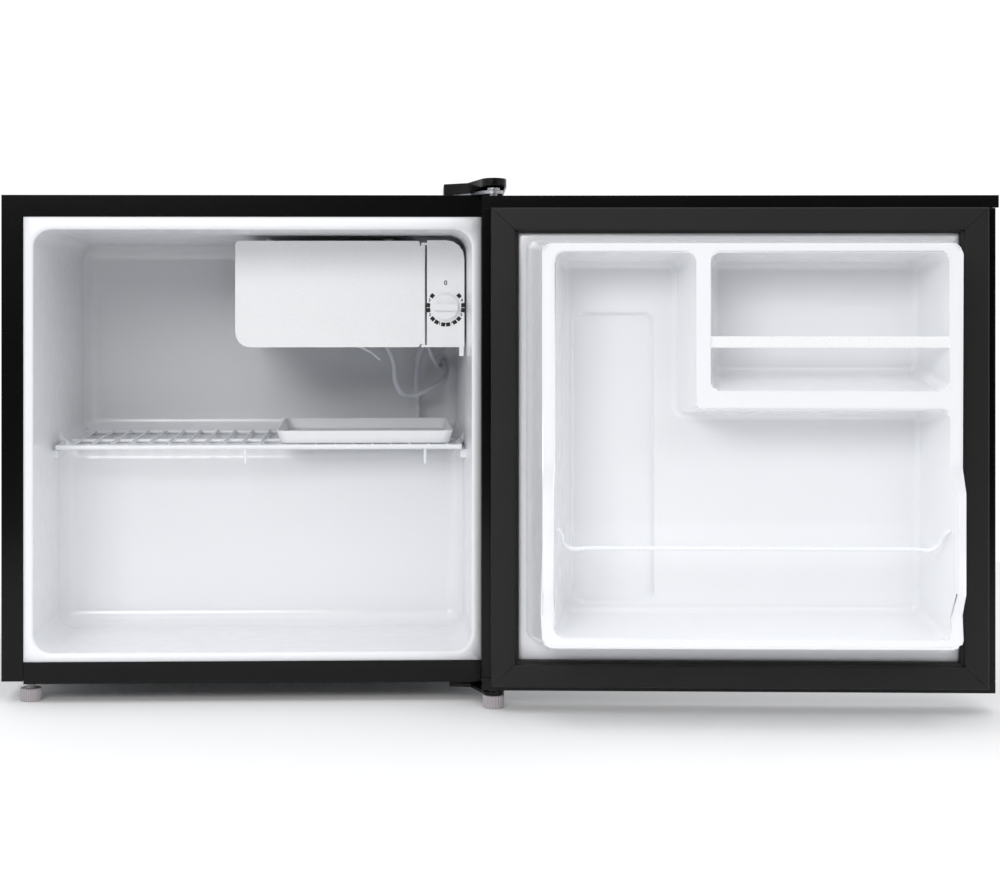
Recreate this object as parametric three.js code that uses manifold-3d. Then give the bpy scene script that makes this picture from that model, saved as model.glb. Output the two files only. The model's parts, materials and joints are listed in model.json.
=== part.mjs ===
// A compact cube refrigerator with its door swung open, in millimetres, +Z up.
// +X runs from the cabinet towards the open door, +Y runs from the front to the back.
// Every piece is drawn about the cabinet: X = 0 is the cabinet's centre line, Y = 0 its front face
// and Z = 0 the floor. The door is drawn closed and turned about its hinge pins. The whole
// group is then moved so that its origin is the centre of its footprint on the floor.
import * as THREE from "three";
import { mergeVertices } from "three/addons/utils/BufferGeometryUtils.js";
import Module from "manifold-3d";

const wasm = await Module();
wasm.setup();

// Driving dimensions
const fit = 0.3; // air between two pieces that touch
const degree = Math.PI / 180;

const cabinet = { width: 472, depth: 362, bottom: 18, height: 460, sheet: 1, frame: 20.4, skirtLift: 2.5 };
const wall = { skin: 2, foam: 33 };
const opening = { side: 29.5, top: 32.5, bottom: 28.8, corner: 16 }; // cabinet's edges to the cavity
const room = { lowerDepth: 155, upperDepth: 300, sideDraft: 1, ceilingDraft: 2.4 };
const ledge = { reach: 6, height: 9, front: 98 };
const shelf = {
  inset: 8,
  front: 92,
  backGap: 28,
  lift: 185.3,
  frameRadius: 2.5,
  wireRadius: 1.4,
  pitch: 18.6,
};
const tray = { inset: 14.5, width: 175.6, backGap: 11, height: 12.6, wall: 2, flare: 4 };
const control = { inset: 3.5, width: 37.2, height: 106, drop: 9, depth: 60, wall: 2, corner: 18 };
const flap = { width: 184.5, drop: 9.6, front: 95, sheet: 2.4, lip: 9, corner: 15 };
const dial = { radius: 13, depth: 9, shaft: 3, grip: 3.2 };
const evaporator = { inset: 5, drop: 9, front: 105, backGap: 20, sheet: 1.6 };
const foot = { radius: 10.2, cup: 11.8, rear: 12, fromSide: 25, fromFront: 16, threadRadius: 4 };
const hinge = {
  fromSide: 10.6,
  y: -27,
  openAngle: 176.8,
  pinRadius: 3.5,
  bushWall: 1.5,
  plate: 3,
  running: 0.05,
};
const door = { front: -45, sheet: 1, capHeight: 11.5, capLip: 3, play: 1.7, low: 0.2 };
const gasket = {
  side: 8.5,
  top: 11.5,
  bottom: 5.6,
  width: 23.8,
  sideWidth: 25.6,
  base: -12.6,
  face: -0.6,
  overlap: 3.5,
};
const dyke = { draft: 8, height: 78, hingeInset: 53.8, freeInset: 51, lowInset: 58, highInset: 45, corner: 12 };
const rim = { hinge: 9.5, free: 8.5, top: 4.8, bottom: 5 };
const shoulder = { lift: 50.5, length: 109, ramp: 22, reach: 16 }; // where the side walls stand further in
const pocket = { width: 213, rib: 8.4, rise: 281, floorRib: 11, back: -10 };
const column = { back: -4, recessGap: 2, recessWidth: 81, recessTop: 351, recessBack: -11.5 };
const guard = { rise: 321, height: 10, thickness: 3.2, setBack: 2 };
const retainer = { radius: 1.9, rise: 144, endRise: 161, runSetBack: 10, endReach: 2 };
const gland = { x: -60, z: 31, radius: 4.4, bore: 2.8 };
const engine = { x: 70, width: 150, depth: 118, bottom: 40.5, headroom: 24, plateTop: 23.5 };
const coil = { behind: 14, margin: 50, low: 218, passes: 9, topGap: 30, tube: 2.6, strip: 14 };

// Places that follow from them
const halfWidth = cabinet.width / 2;
const cabinetTop = cabinet.bottom + cabinet.height;
const frontWindow = {
  half: halfWidth - cabinet.frame,
  low: cabinet.bottom + cabinet.frame,
  high: cabinetTop - cabinet.frame,
};
const cavity = {
  half: halfWidth - opening.side,
  floor: cabinet.bottom + opening.bottom,
  ceiling: cabinetTop - opening.top,
};
const shelfZ = cavity.floor + (shelf.lift * cabinet.height) / 460;
const shelfHalf = cavity.half - shelf.inset;
const shelfBack = room.upperDepth - shelf.backGap;
const stepTop = shelfZ - shelf.frameRadius - fit;
const floorPlateZ = cabinet.bottom + cabinet.skirtLift + fit;
const bayFront = room.lowerDepth + wall.skin + wall.foam;
const bayTop = stepTop - wall.skin - wall.foam + 4;
const controlBox = {
  left: cavity.half - control.inset - control.width,
  right: cavity.half - control.inset,
  top: cavity.ceiling - control.drop,
  bottom: cavity.ceiling - control.drop - control.height,
};
const dialAt = { x: (controlBox.left + controlBox.right) / 2, z: controlBox.bottom + 0.375 * control.height };
const flapBox = {
  left: controlBox.left - 5.3 - flap.width,
  right: controlBox.left - 5.3,
  top: cavity.ceiling - flap.drop,
  bottom: cavity.ceiling - control.drop - control.height,
};
const flapAxis = { x: controlBox.left - 3.1, y: flap.front + 1.2, pin: 1.3 };
const coldBox = {
  left: flapBox.left + evaporator.inset,
  right: flapBox.right - evaporator.inset,
  bottom: flapBox.bottom + 4,
  top: flapBox.top - evaporator.drop,
  back: room.upperDepth - evaporator.backGap,
};
const trayBottom = shelfZ + shelf.frameRadius - 0.9 + shelf.wireRadius + fit;
const trayBox = {
  right: cavity.half - tray.inset,
  left: cavity.half - tray.inset - tray.width,
  front: shelf.front + 1,
  depth: shelfBack - tray.backGap - shelf.front,
};
const trayRim = trayBottom + tray.height;
const tubeHole = { x: cavity.half - 20, z: coldBox.bottom - 28.5, radius: 9 };
const suction = { x: cavity.half - 47, y: room.upperDepth - 16 };
const hingeX = halfWidth - hinge.fromSide;
const leftFoot = { x: -halfWidth + foot.fromSide, y: foot.fromFront };
const doorLow = cabinet.bottom + door.low;
const doorHigh = cabinetTop - door.play;
const linerBase = gasket.base - fit;
const gasketOuter = {
  half: halfWidth - gasket.side,
  low: doorLow + gasket.bottom,
  high: doorHigh - gasket.top,
};
const linerPlate = {
  back: linerBase - wall.skin,
  half: gasketOuter.half - gasket.overlap,
  low: doorLow + door.capHeight + gasket.overlap,
  high: doorHigh - door.capHeight - gasket.overlap,
};
const dykeBox = {
  free: -halfWidth + dyke.freeInset,
  hinge: halfWidth - dyke.hingeInset,
  low: doorLow + dyke.lowInset,
  high: doorHigh - dyke.highInset,
};
const inner = {
  free: dykeBox.free + rim.free,
  hinge: dykeBox.hinge - rim.hinge,
  low: dykeBox.low + rim.bottom,
  high: dykeBox.high - rim.top,
};
const doorRise = (rise) => doorLow + (rise * (doorHigh - doorLow)) / 458;
const roomFront = dyke.height + shoulder.reach + 1;
const roomLean = dyke.draft * 0.85;
const leanAt = (y) => (roomFront - y) * Math.tan(roomLean * degree);
const ribRight = inner.free + pocket.width;
const guardFront = dyke.height - guard.setBack;
const wireRun = dyke.height - retainer.runSetBack;
const wireEnd = dyke.height + retainer.endReach;
const coilY = cabinet.depth + coil.behind;
const engineY = cabinet.depth - 12 - engine.depth / 2;
const engineHeight = bayTop - engine.bottom - engine.headroom;

// Finishes
const finish = (color, roughness, metalness = 0) =>
  new THREE.MeshStandardMaterial({ color, roughness, metalness });
const finishes = {
  blackPaint: finish(0x131314, 0.35),
  blackPlastic: finish(0x161616, 0.45),
  gasketVinyl: finish(0x2b292a, 0.6),
  whiteLiner: finish(0xe9ebf0, 0.25),
  whitePlastic: finish(0xf0f0f2, 0.35),
  whiteWire: finish(0xf4f4f6, 0.3),
  zincSteel: finish(0xb9bcc0, 0.35, 0.9),
  aluminium: finish(0xc9ccd0, 0.4, 0.9),
  copper: finish(0xb0714c, 0.35, 0.9),
  foam: finish(0xe8dfae, 0.9),
  rubber: finish(0x1b1b1b, 0.8),
  footPlastic: finish(0xb4afb1, 0.5),
};

// Solids: every helper returns a manifold-3d solid, so that pieces can be joined and cut.
function solidOf(geometry) {
  const bare = new THREE.BufferGeometry();
  bare.setAttribute("position", geometry.getAttribute("position"));
  if (geometry.index) bare.setIndex(geometry.index);
  const merged = mergeVertices(bare, 1e-4);
  return new wasm.Manifold(
    new wasm.Mesh({
      numProp: 3,
      vertProperties: new Float32Array(merged.attributes.position.array),
      triVerts: new Uint32Array(merged.index.array),
    }),
  );
}

function block(x0, x1, y0, y1, z0, z1) {
  const box = new THREE.BoxGeometry(x1 - x0, y1 - y0, z1 - z0);
  return solidOf(box.translate((x0 + x1) / 2, (y0 + y1) / 2, (z0 + z1) / 2));
}

// A rod standing along one axis ("x", "y" or "z") from its low end
function rod(axis, x, y, z, radius, length, sides = 16) {
  const cylinder = new THREE.CylinderGeometry(radius, radius, length, sides).translate(0, length / 2, 0);
  if (axis === "x") cylinder.rotateZ(-Math.PI / 2);
  if (axis === "z") cylinder.rotateX(Math.PI / 2);
  return solidOf(cylinder.translate(x, y, z));
}

// A turned piece about a vertical axis; profile is a list of [radius, height] from the low end
function turned(profile, x, y, z, sides = 24) {
  const points = profile.map(([r, h]) => new THREE.Vector2(r, h));
  return solidOf(new THREE.LatheGeometry(points, sides).rotateX(Math.PI / 2).translate(x, y, z));
}

// A rectangle in X and Z with round corners [lower left, lower right, upper right, upper left]
function roundedRectangle(x0, x1, z0, z1, radii, steps = 4) {
  const corners = [
    [x0 + radii[0], z0 + radii[0], radii[0], 180],
    [x1 - radii[1], z0 + radii[1], radii[1], 270],
    [x1 - radii[2], z1 - radii[2], radii[2], 0],
    [x0 + radii[3], z1 - radii[3], radii[3], 90],
  ];
  const points = [];
  for (const [cx, cz, r, start] of corners) {
    const count = r > 0 ? steps : 0;
    for (let i = 0; i <= count; i++) {
      const a = (start + (count ? (90 * i) / count : 0)) * degree;
      points.push(new THREE.Vector2(cx + r * Math.cos(a), cz + r * Math.sin(a)));
    }
  }
  return new THREE.Shape(points);
}

// An outline in X and Z, extruded along Y from y0 to y1
function slab(shape, y0, y1) {
  const prism = new THREE.ExtrudeGeometry(shape, { depth: y1 - y0, bevelEnabled: false });
  return solidOf(prism.rotateX(Math.PI / 2).translate(0, y1, 0));
}

// An outline in X and Y, extruded along Z from z0 to z1
function plate(points, z0, z1) {
  const shape = new THREE.Shape(points.map(([x, y]) => new THREE.Vector2(x, y)));
  const prism = new THREE.ExtrudeGeometry(shape, { depth: z1 - z0, bevelEnabled: false });
  return solidOf(prism.translate(0, 0, z0));
}

// An outline in Y and Z, extruded along X from x0 to x1
function rail(points, x0, x1) {
  const shape = new THREE.Shape(points.map(([y, z]) => new THREE.Vector2(y, z)));
  const prism = new THREE.ExtrudeGeometry(shape, { depth: x1 - x0, bevelEnabled: false });
  return solidOf(prism.rotateX(Math.PI / 2).rotateZ(Math.PI / 2).translate(x0, 0, 0));
}

// A rounded rectangle run along Y whose sides lean in by their own angle from yFrom to yTo
function moulded(side, yFrom, yTo, lean, radii, steps = 4) {
  const span = Math.abs(yTo - yFrom);
  const middle = { x: (side.x0 + side.x1) / 2, z: (side.z0 + side.z1) / 2 };
  const reach = { x: (side.x1 - side.x0) / 2, z: (side.z1 - side.z0) / 2 };
  const shape = roundedRectangle(side.x0, side.x1, side.z0, side.z1, radii, steps);
  const prism = new THREE.ExtrudeGeometry(shape, { depth: span, bevelEnabled: false }).rotateX(Math.PI / 2);
  prism.translate(0, Math.max(yFrom, yTo), 0);
  const at = prism.getAttribute("position");
  for (let i = 0; i < at.count; i++) {
    if (Math.abs(at.getY(i) - yTo) > 1e-3) continue;
    const [dx, dz] = [at.getX(i) - middle.x, at.getZ(i) - middle.z];
    const leanX = span * Math.tan((dx < 0 ? lean.x0 : lean.x1) * degree);
    const leanZ = span * Math.tan((dz < 0 ? lean.z0 : lean.z1) * degree);
    at.setX(i, at.getX(i) - (dx / reach.x) * leanX);
    at.setZ(i, at.getZ(i) - (dz / reach.z) * leanZ);
  }
  return solidOf(prism);
}

const evenLean = (angle) => ({ x0: angle, x1: angle, z0: angle, z1: angle });
const evenRadii = (radius) => [radius, radius, radius, radius];

// A run through points that keeps one ring at each point
class Run extends THREE.Curve {
  constructor(points) {
    super();
    this.points = points;
  }
  getPoint(t) {
    const last = this.points.length - 1;
    const i = Math.min(Math.floor(t * last + 1e-6), last - 1);
    return new THREE.Vector3().lerpVectors(this.points[i], this.points[i + 1], t * last - i);
  }
  getPointAt(u) {
    return this.getPoint(u);
  }
  getTangentAt(u) {
    const step = 0.01 / this.points.length;
    const ahead = this.getPoint(Math.min(1, u + step));
    return ahead.sub(this.getPoint(Math.max(0, u - step))).normalize();
  }
}

function tubeThrough(points, radius, sides = 8) {
  const section = new THREE.Shape();
  for (let i = 0; i < sides; i++) {
    const a = (2 * Math.PI * i) / sides;
    const [x, y] = [radius * Math.cos(a), radius * Math.sin(a)];
    if (i === 0) section.moveTo(x, y);
    else section.lineTo(x, y);
  }
  const options = { steps: points.length - 1, extrudePath: new Run(points), bevelEnabled: false };
  return solidOf(new THREE.ExtrudeGeometry(section, options));
}

function wire(points, radius, steps, sides = 8) {
  const path = new THREE.CatmullRomCurve3(points.map((p) => new THREE.Vector3(...p)), false, "centripetal");
  return tubeThrough(path.getSpacedPoints(steps), radius, sides);
}

const joined = (solids) => solids.reduce((a, b) => a.add(b));

function piece(name, solid, material, group) {
  const made = solid.getMesh();
  const geometry = new THREE.BufferGeometry();
  geometry.setAttribute("position", new THREE.BufferAttribute(new Float32Array(made.vertProperties), 3));
  geometry.setIndex(new THREE.BufferAttribute(new Uint32Array(made.triVerts), 1));
  geometry.computeVertexNormals();
  const mesh = new THREE.Mesh(geometry, material);
  mesh.name = name;
  group.add(mesh);
  return mesh;
}

const fridge = new THREE.Group();
const doorGroup = new THREE.Group();

// Cabinet

// The space inside the cabinet, grown by an offset on every wall
function cavitySpace(offset) {
  const lean = { x0: room.sideDraft, x1: room.sideDraft, z0: 0, z1: room.ceilingDraft };
  const half = cavity.half + offset;
  const [round, sharp] = [opening.corner + offset, 3 + offset];
  const ceiling = cavity.ceiling + offset;
  const lower = { x0: -half, x1: half, z0: cavity.floor - offset, z1: ceiling };
  const upper = { x0: -half, x1: half, z0: stepTop - offset, z1: ceiling };
  const front = moulded(lower, -0.5, room.lowerDepth + offset, lean, [round, round, round, round]);
  return front.add(moulded(upper, -0.5, room.upperDepth + offset, lean, [sharp, sharp, round, round]));
}

const wallAt = (y) => cavity.half - (y + 0.5) * Math.tan(room.sideDraft * degree);

function outerShell() {
  const low = cabinet.bottom + cabinet.skirtLift;
  const body = block(-halfWidth, halfWidth, 0, cabinet.depth, low, cabinetTop);
  const inside = block(
    -halfWidth + cabinet.sheet,
    halfWidth - cabinet.sheet,
    cabinet.sheet,
    cabinet.depth + 1,
    low - 1,
    cabinetTop - cabinet.sheet,
  );
  const { half, high } = frontWindow;
  const openFront = block(-half, half, -1, 2 * cabinet.sheet, low - 1, high);
  return body.subtract(inside).subtract(openFront);
}

function bottomRail() {
  const top = frontWindow.low;
  const lip = foot.fromFront + foot.radius + 8;
  const profile = [
    [0, cabinet.bottom],
    [lip, cabinet.bottom],
    [lip, cabinet.bottom + cabinet.sheet],
    [cabinet.sheet, cabinet.bottom + cabinet.sheet],
    [cabinet.sheet, top],
    [0, top],
  ];
  const made = rail(profile, -frontWindow.half + fit, frontWindow.half - fit);
  return made.subtract(rod("z", leftFoot.x, leftFoot.y, cabinet.bottom - 1, foot.threadRadius + 0.1, 4, 16));
}

function basePan() {
  const t = cabinet.sheet;
  const profile = [
    [2 * cabinet.sheet, floorPlateZ],
    [bayFront + t, floorPlateZ],
    [bayFront + t, bayTop],
    [cabinet.depth - t - fit, bayTop],
    [cabinet.depth - t - fit, bayTop + t],
    [bayFront, bayTop + t],
    [bayFront, floorPlateZ + t],
    [2 * cabinet.sheet, floorPlateZ + t],
  ];
  const side = halfWidth - cabinet.sheet - fit;
  return rail(profile, -side, side).subtract(rod("z", suction.x, suction.y, bayTop - 1, 4.5, 4));
}

function backPanel() {
  const inner = halfWidth - cabinet.sheet - fit;
  return block(
    -inner,
    inner,
    cabinet.depth - cabinet.sheet,
    cabinet.depth,
    bayTop + fit,
    cabinetTop - cabinet.sheet - fit,
  );
}

function innerLiner() {
  const flange = block(
    -frontWindow.half + fit,
    frontWindow.half - fit,
    0.2,
    0.2 + wall.skin,
    frontWindow.low + fit,
    frontWindow.high - fit,
  );
  const front = block(-halfWidth, halfWidth, -5, 0.2, 0, cabinetTop);
  let liner = cavitySpace(wall.skin).subtract(front).add(flange).subtract(cavitySpace(0));
  const ledgeTop = stepTop;
  for (const side of [-1, 1]) {
    const near = side * (wallAt(ledge.front) - ledge.reach);
    const far = side * (cavity.half + wall.skin / 2);
    const [x0, x1] = [Math.min(near, far), Math.max(near, far)];
    const step = block(x0, x1, ledge.front, room.lowerDepth + 1, ledgeTop - ledge.height, ledgeTop);
    liner = liner.add(step.intersect(cavitySpace(wall.skin / 2)));
  }
  const hole = rod("y", tubeHole.x, room.upperDepth - 5, tubeHole.z, tubeHole.radius, 15);
  return liner.subtract(hole).subtract(rod("z", suction.x, suction.y, stepTop - 6, 4.5, 12));
}

function foamInsulation() {
  const side = halfWidth - cabinet.sheet - fit;
  const ceiling = cabinetTop - cabinet.sheet - fit;
  const back = cabinet.depth - cabinet.sheet - 2 * fit;
  const body = block(-side, side, wall.skin + 1, back, floorPlateZ + cabinet.sheet + fit, ceiling);
  const bay = block(-halfWidth, halfWidth, bayFront - fit, cabinet.depth, 0, bayTop + cabinet.sheet + fit);
  const hole = rod("y", tubeHole.x, room.upperDepth - 5, tubeHole.z, tubeHole.radius, 40);
  const suctionHole = rod("z", suction.x, suction.y, bayTop - 1, 4.5, 60);
  return body.subtract(bay).subtract(cavitySpace(wall.skin + fit)).subtract(hole).subtract(suctionHole);
}

// Feet

// A ribbed levelling foot with its threaded stud
function levellingFoot(x, y, studTop) {
  const ribs = 20;
  const cup = turned(
    [
      [0, 0],
      [foot.radius - 2, 0],
      [foot.radius - 0.4, 1.8],
      [foot.radius - 0.4, foot.cup],
      [0, foot.cup],
    ],
    x,
    y,
    0,
    ribs,
  );
  const parts = [cup, rod("z", x, y, foot.cup - 1, foot.threadRadius, studTop - foot.cup + 1, 12)];
  for (let i = 0; i < ribs; i++) {
    const a = ((i + 0.5) * 2 * Math.PI) / ribs;
    const reach = foot.radius - 1;
    parts.push(rod("z", x + reach * Math.cos(a), y + reach * Math.sin(a), 2, 1, foot.cup - 3, 5));
  }
  return joined(parts);
}

function rearFoot(side) {
  const top = engine.plateTop - 2.3;
  const profile = [
    [0, 0],
    [foot.rear - 2, 0],
    [foot.rear, 3],
    [foot.rear - 2, top],
    [0, top],
  ];
  return turned(profile, side * (halfWidth - 31), cabinet.depth - 24, 0, 20);
}

// Hinges

const topPinBase = doorHigh - door.capHeight + 1.3;
const topPlateZ = cabinetTop + fit;
const bottomPlate = { low: cabinet.bottom - 5.5, high: cabinet.bottom - 2.5 };
const pinHole = hinge.pinRadius + hinge.running;
const hingeScrews = [
  [hingeX - 32, 32],
  [hingeX - 6, 32],
];
const bracketScrews = [
  [hingeX - 27, 18],
  [hingeX - 3, 18],
];

function roundNose(cx, cy, radius, fromDegree, toDegree, steps) {
  const points = [];
  for (let i = 0; i <= steps; i++) {
    const a = (fromDegree + ((toDegree - fromDegree) * i) / steps) * degree;
    points.push([cx + radius * Math.cos(a), cy + radius * Math.sin(a)]);
  }
  return points;
}

function hingeOutline(grow) {
  return [
    ...roundNose(hingeX, hinge.y, 9 + grow, 200, 350, 8),
    [hingeX + 8.5 + grow, 20],
    [hingeX + 7 + grow, 46 + grow],
    [hingeX - 42 - grow, 46 + grow],
    [hingeX - 42 - grow, 14 - grow],
    [hingeX - 20 - grow, 4 - grow],
  ];
}

function topHingePlate() {
  let made = plate(hingeOutline(0), topPlateZ, topPlateZ + hinge.plate);
  made = made.subtract(rod("z", hingeX, hinge.y, topPlateZ - 1, pinHole, hinge.plate + 2, 20));
  for (const [x, y] of hingeScrews) {
    made = made.subtract(rod("z", x, y, topPlateZ - 1, 2.6, hinge.plate + 2, 12));
  }
  return made;
}

// The pin's collar sits on the plate; its shank hangs down into the door's top cap.
function topHingePin() {
  const top = topPlateZ + hinge.plate;
  const shank = rod("z", hingeX, hinge.y, topPinBase, hinge.pinRadius, top - topPinBase + 0.5, 20);
  return shank.add(rod("z", hingeX, hinge.y, top + fit, 6, 2.5, 20));
}

function topHingeCover() {
  const low = topPlateZ;
  const rise = { front: 14, back: 7.5 };
  const slope = Math.atan2(rise.front - rise.back, 50 - hinge.y);
  const above = (drop) => {
    const box = new THREE.BoxGeometry(200, 300, 60).translate(0, 0, 30);
    box.rotateX(-slope).translate(hingeX, hinge.y, cabinetTop + rise.front - drop);
    return solidOf(box);
  };
  const skin = 1.6;
  const high = cabinetTop + rise.front + 5;
  const outside = plate(hingeOutline(3.2), low, high).subtract(above(0));
  return outside.subtract(plate(hingeOutline(3.2 - skin), low - 1, high).subtract(above(skin)));
}

function screw(x, y, z, reach) {
  const head = turned(
    [
      [0, 0],
      [4.4, 0],
      [4.2, 1.2],
      [2.4, 2.2],
      [0, 2.4],
    ],
    x,
    y,
    z,
    16,
  );
  return head.add(rod("z", x, y, z - reach, 2.2, reach + 0.5, 10));
}

function bottomHingeBracket() {
  const arm = [
    ...roundNose(hingeX, hinge.y, 10, 180, 350, 8),
    [hingeX + 9.3, 30],
    [hingeX - 40, 30],
    [hingeX - 40, 6],
    [hingeX - 20, 2],
  ];
  let made = plate(arm, bottomPlate.low, bottomPlate.high);
  const strip = block(hingeX - 40, hingeX + 9.3, 6, 30, bottomPlate.high - 0.5, cabinet.bottom - fit);
  made = made.add(strip).subtract(rod("z", hingeX, hinge.y, 10, foot.threadRadius + 0.1, 12, 16));
  for (const [x, y] of bracketScrews) made = made.subtract(rod("z", x, y, 10, 2.6, 12, 12));
  return made;
}

// The lower pin stands on the bracket's hole and turns in the door's bottom cap.
function bottomHingePin() {
  const base = bottomPlate.high;
  const high = doorLow + door.capHeight - 1.5;
  const flange = rod("z", hingeX, hinge.y, base + fit, 5, doorLow - base - 2 * fit, 20);
  return flange.add(rod("z", hingeX, hinge.y, base + 1, hinge.pinRadius, high - base - 1, 20));
}

function bracketScrew(x, y) {
  const head = rod("z", x, y, bottomPlate.low - 2.6, 4.4, 2.3, 6);
  return head.add(rod("z", x, y, bottomPlate.low - 1, 2.2, cabinet.bottom - bottomPlate.low + 0.5, 10));
}

// Cold box, flap and thermostat

function evaporatorBox() {
  const b = coldBox;
  const t = evaporator.sheet;
  const outside = roundedRectangle(b.left, b.right, b.bottom, b.top, evenRadii(8), 3);
  const hollow = roundedRectangle(b.left + t, b.right - t, b.bottom + t, b.top - t, evenRadii(8 - t), 3);
  return slab(outside, evaporator.front, b.back).subtract(slab(hollow, evaporator.front - 1, b.back - t));
}

function evaporatorHanger(x, y) {
  const ceiling = cavity.ceiling - y * Math.tan(room.ceilingDraft * degree);
  return rod("z", x, y, coldBox.top + fit, 5, ceiling - coldBox.top - 1 - fit, 12);
}

function freezerFlap() {
  const f = flapBox;
  const t = flap.sheet;
  const back = flap.front + flap.lip;
  const right = f.right - 2;
  const outside = roundedRectangle(f.left, right, f.bottom, f.top, [flap.corner, 2, 2, 4]);
  const corners = [flap.corner - t, 1, 1, 2];
  const hollow = roundedRectangle(f.left + t, right - t, f.bottom + t, f.top - t, corners);
  const pan = slab(outside, flap.front, back).subtract(slab(hollow, flap.front + t, back + 1));
  const barrel = { low: f.bottom + 3, high: f.top - 4.5 };
  const web = block(f.right - 4, flapAxis.x - 0.4, flap.front, flap.front + t, barrel.low, barrel.high);
  const pinLength = barrel.high - barrel.low + 6;
  const pin = rod("z", flapAxis.x, flapAxis.y, barrel.low - 3, flapAxis.pin, pinLength, 12);
  return pan.add(web).add(pin);
}

function controlHousing() {
  const c = controlBox;
  const t = control.wall;
  const front = flap.front;
  const outside = roundedRectangle(c.left, c.right, c.bottom, c.top, [1, 1, control.corner, 1]);
  const corners = [0.5, 0.5, control.corner - t, 0.5];
  const hollow = roundedRectangle(c.left + t, c.right - t, c.bottom + t, c.top - t, corners);
  let made = slab(outside, front, front + control.depth);
  made = made.subtract(slab(hollow, front + t, front + control.depth + 1));
  for (const low of [c.bottom, flapBox.top - 4.2]) {
    made = made.add(block(flapAxis.x - 2.6, c.left + 1, front, front + 4.5, low, low + 2.2));
  }
  const axisHole = rod("z", flapAxis.x, flapAxis.y, c.bottom - 1, flapAxis.pin + 0.25, c.top - c.bottom, 12);
  const shaftHole = rod("y", dialAt.x, front - 1, dialAt.z, dial.shaft + 0.4, t + 2, 16);
  return made.subtract(axisHole).subtract(shaftHole);
}

function thermostatBody() {
  const back = flap.front + control.wall;
  const body = block(dialAt.x - 12, dialAt.x + 12, back + 0.4, back + 34, dialAt.z - 20, dialAt.z + 20);
  return body.add(rod("y", dialAt.x, flap.front - 3, dialAt.z, dial.shaft, control.wall + 6, 12));
}

function thermostatDial() {
  const face = flap.front - fit;
  const { x, z } = dialAt;
  const skirt = rod("y", x, face - 3, z, dial.radius, 3, 32);
  const knob = rod("y", x, face - dial.depth, z, dial.radius - 1.2, dial.depth - 2, 32);
  const r = dial.radius;
  const cut = (z0, z1) => block(x - r, x + r, face - dial.depth - 1, face - 4.5, z + z0, z + z1);
  const grip = knob.subtract(cut(-r, -dial.grip)).subtract(cut(dial.grip, r));
  return skirt.add(grip).subtract(rod("y", x, face - 3.7, z, dial.shaft + fit, 5, 16));
}

// Points measured from the tube hole in the back wall
const nearHole = (dx, dy, dz) => [tubeHole.x + dx, room.upperDepth + dy, tubeHole.z + dz];
const droop = (tubeHole.z - trayRim) * 0.58;
const capillaryPath = [
  nearHole(-63, -78, 25),
  nearHole(-59, -74, 18),
  nearHole(-53, -68, 2),
  nearHole(-51, -64, -droop * 0.55),
  nearHole(-45, -58, -droop * 0.9),
  nearHole(-35, -50, -droop),
  nearHole(-12, -42, -droop * 0.75),
  nearHole(3, -30, -droop * 0.42),
  nearHole(4, -21, -4),
  nearHole(1, -10, 1),
  nearHole(1, 4, 1),
];
const sensorPath = [
  nearHole(-18, -80, 25),
  nearHole(-16, -74, 18),
  nearHole(-12, -58, 10),
  nearHole(-8, -38, 4),
  nearHole(-5.5, -22, -4),
  nearHole(-3.2, -8, -4),
  nearHole(-3.2, 4, -4),
];
const suctionPath = [
  [suction.x + 10, suction.y - 18, coldBox.bottom - 4],
  [suction.x + 6, suction.y - 12, coldBox.bottom - 10],
  [suction.x + 2, suction.y - 4, coldBox.bottom - 20],
  [suction.x, suction.y, coldBox.bottom - 34],
  [suction.x, suction.y, (coldBox.bottom + stepTop) / 2 - 12],
  [suction.x, suction.y, stepTop],
  [suction.x, suction.y, bayTop - 12],
];

function probeTube() {
  const left = coldBox.left + 100;
  const path = [
    [left, 168, coldBox.bottom - 3],
    [left + 16, 172, coldBox.bottom - 6],
    [left + 28, 174, coldBox.bottom - 12],
    [left + 38, 176, coldBox.bottom - 20],
  ];
  return wire(path, 1.6, 8, 8);
}

function tubeGrommet() {
  const body = rod("y", tubeHole.x, room.upperDepth - 2, tubeHole.z, tubeHole.radius - fit, 8, 20);
  const bore = (dx, dz, radius) =>
    rod("y", tubeHole.x + dx, room.upperDepth - 12, tubeHole.z + dz, radius, 30, 12);
  return body.subtract(bore(1, 1, 3.1)).subtract(bore(-3.2, -4, 2.4));
}

// Shelf and tray

function wireShelf() {
  const { front, frameRadius } = shelf;
  const back = shelfBack;
  const side = shelfHalf - frameRadius * 0.2;
  const across = (half, y, z, r, sides) => rod("x", -half, y, z, r, 2 * half, sides);
  const parts = [
    across(shelfHalf, front, shelfZ, frameRadius, 10),
    across(shelfHalf, back, shelfZ, frameRadius, 10),
    across(side, front + 80, shelfZ - 0.2, 1.8, 8),
    rod("y", -side, front, shelfZ, frameRadius, back - front, 10),
    rod("y", side, front, shelfZ, frameRadius, back - front, 10),
  ];
  const wireZ = shelfZ + frameRadius - 0.9;
  const count = Math.floor((2 * shelfHalf - 20) / shelf.pitch);
  for (let i = 0; i <= count; i++) {
    const x = (i - count / 2) * shelf.pitch;
    parts.push(rod("y", x, front - 0.5, wireZ, shelf.wireRadius, back - front + 1, 6));
  }
  for (const x of [trayBox.left - 30, trayBox.right - 28]) {
    parts.push(rod("z", x, front + 1, shelfZ - 17, 1.5, 17, 8));
  }
  return joined(parts);
}

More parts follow.
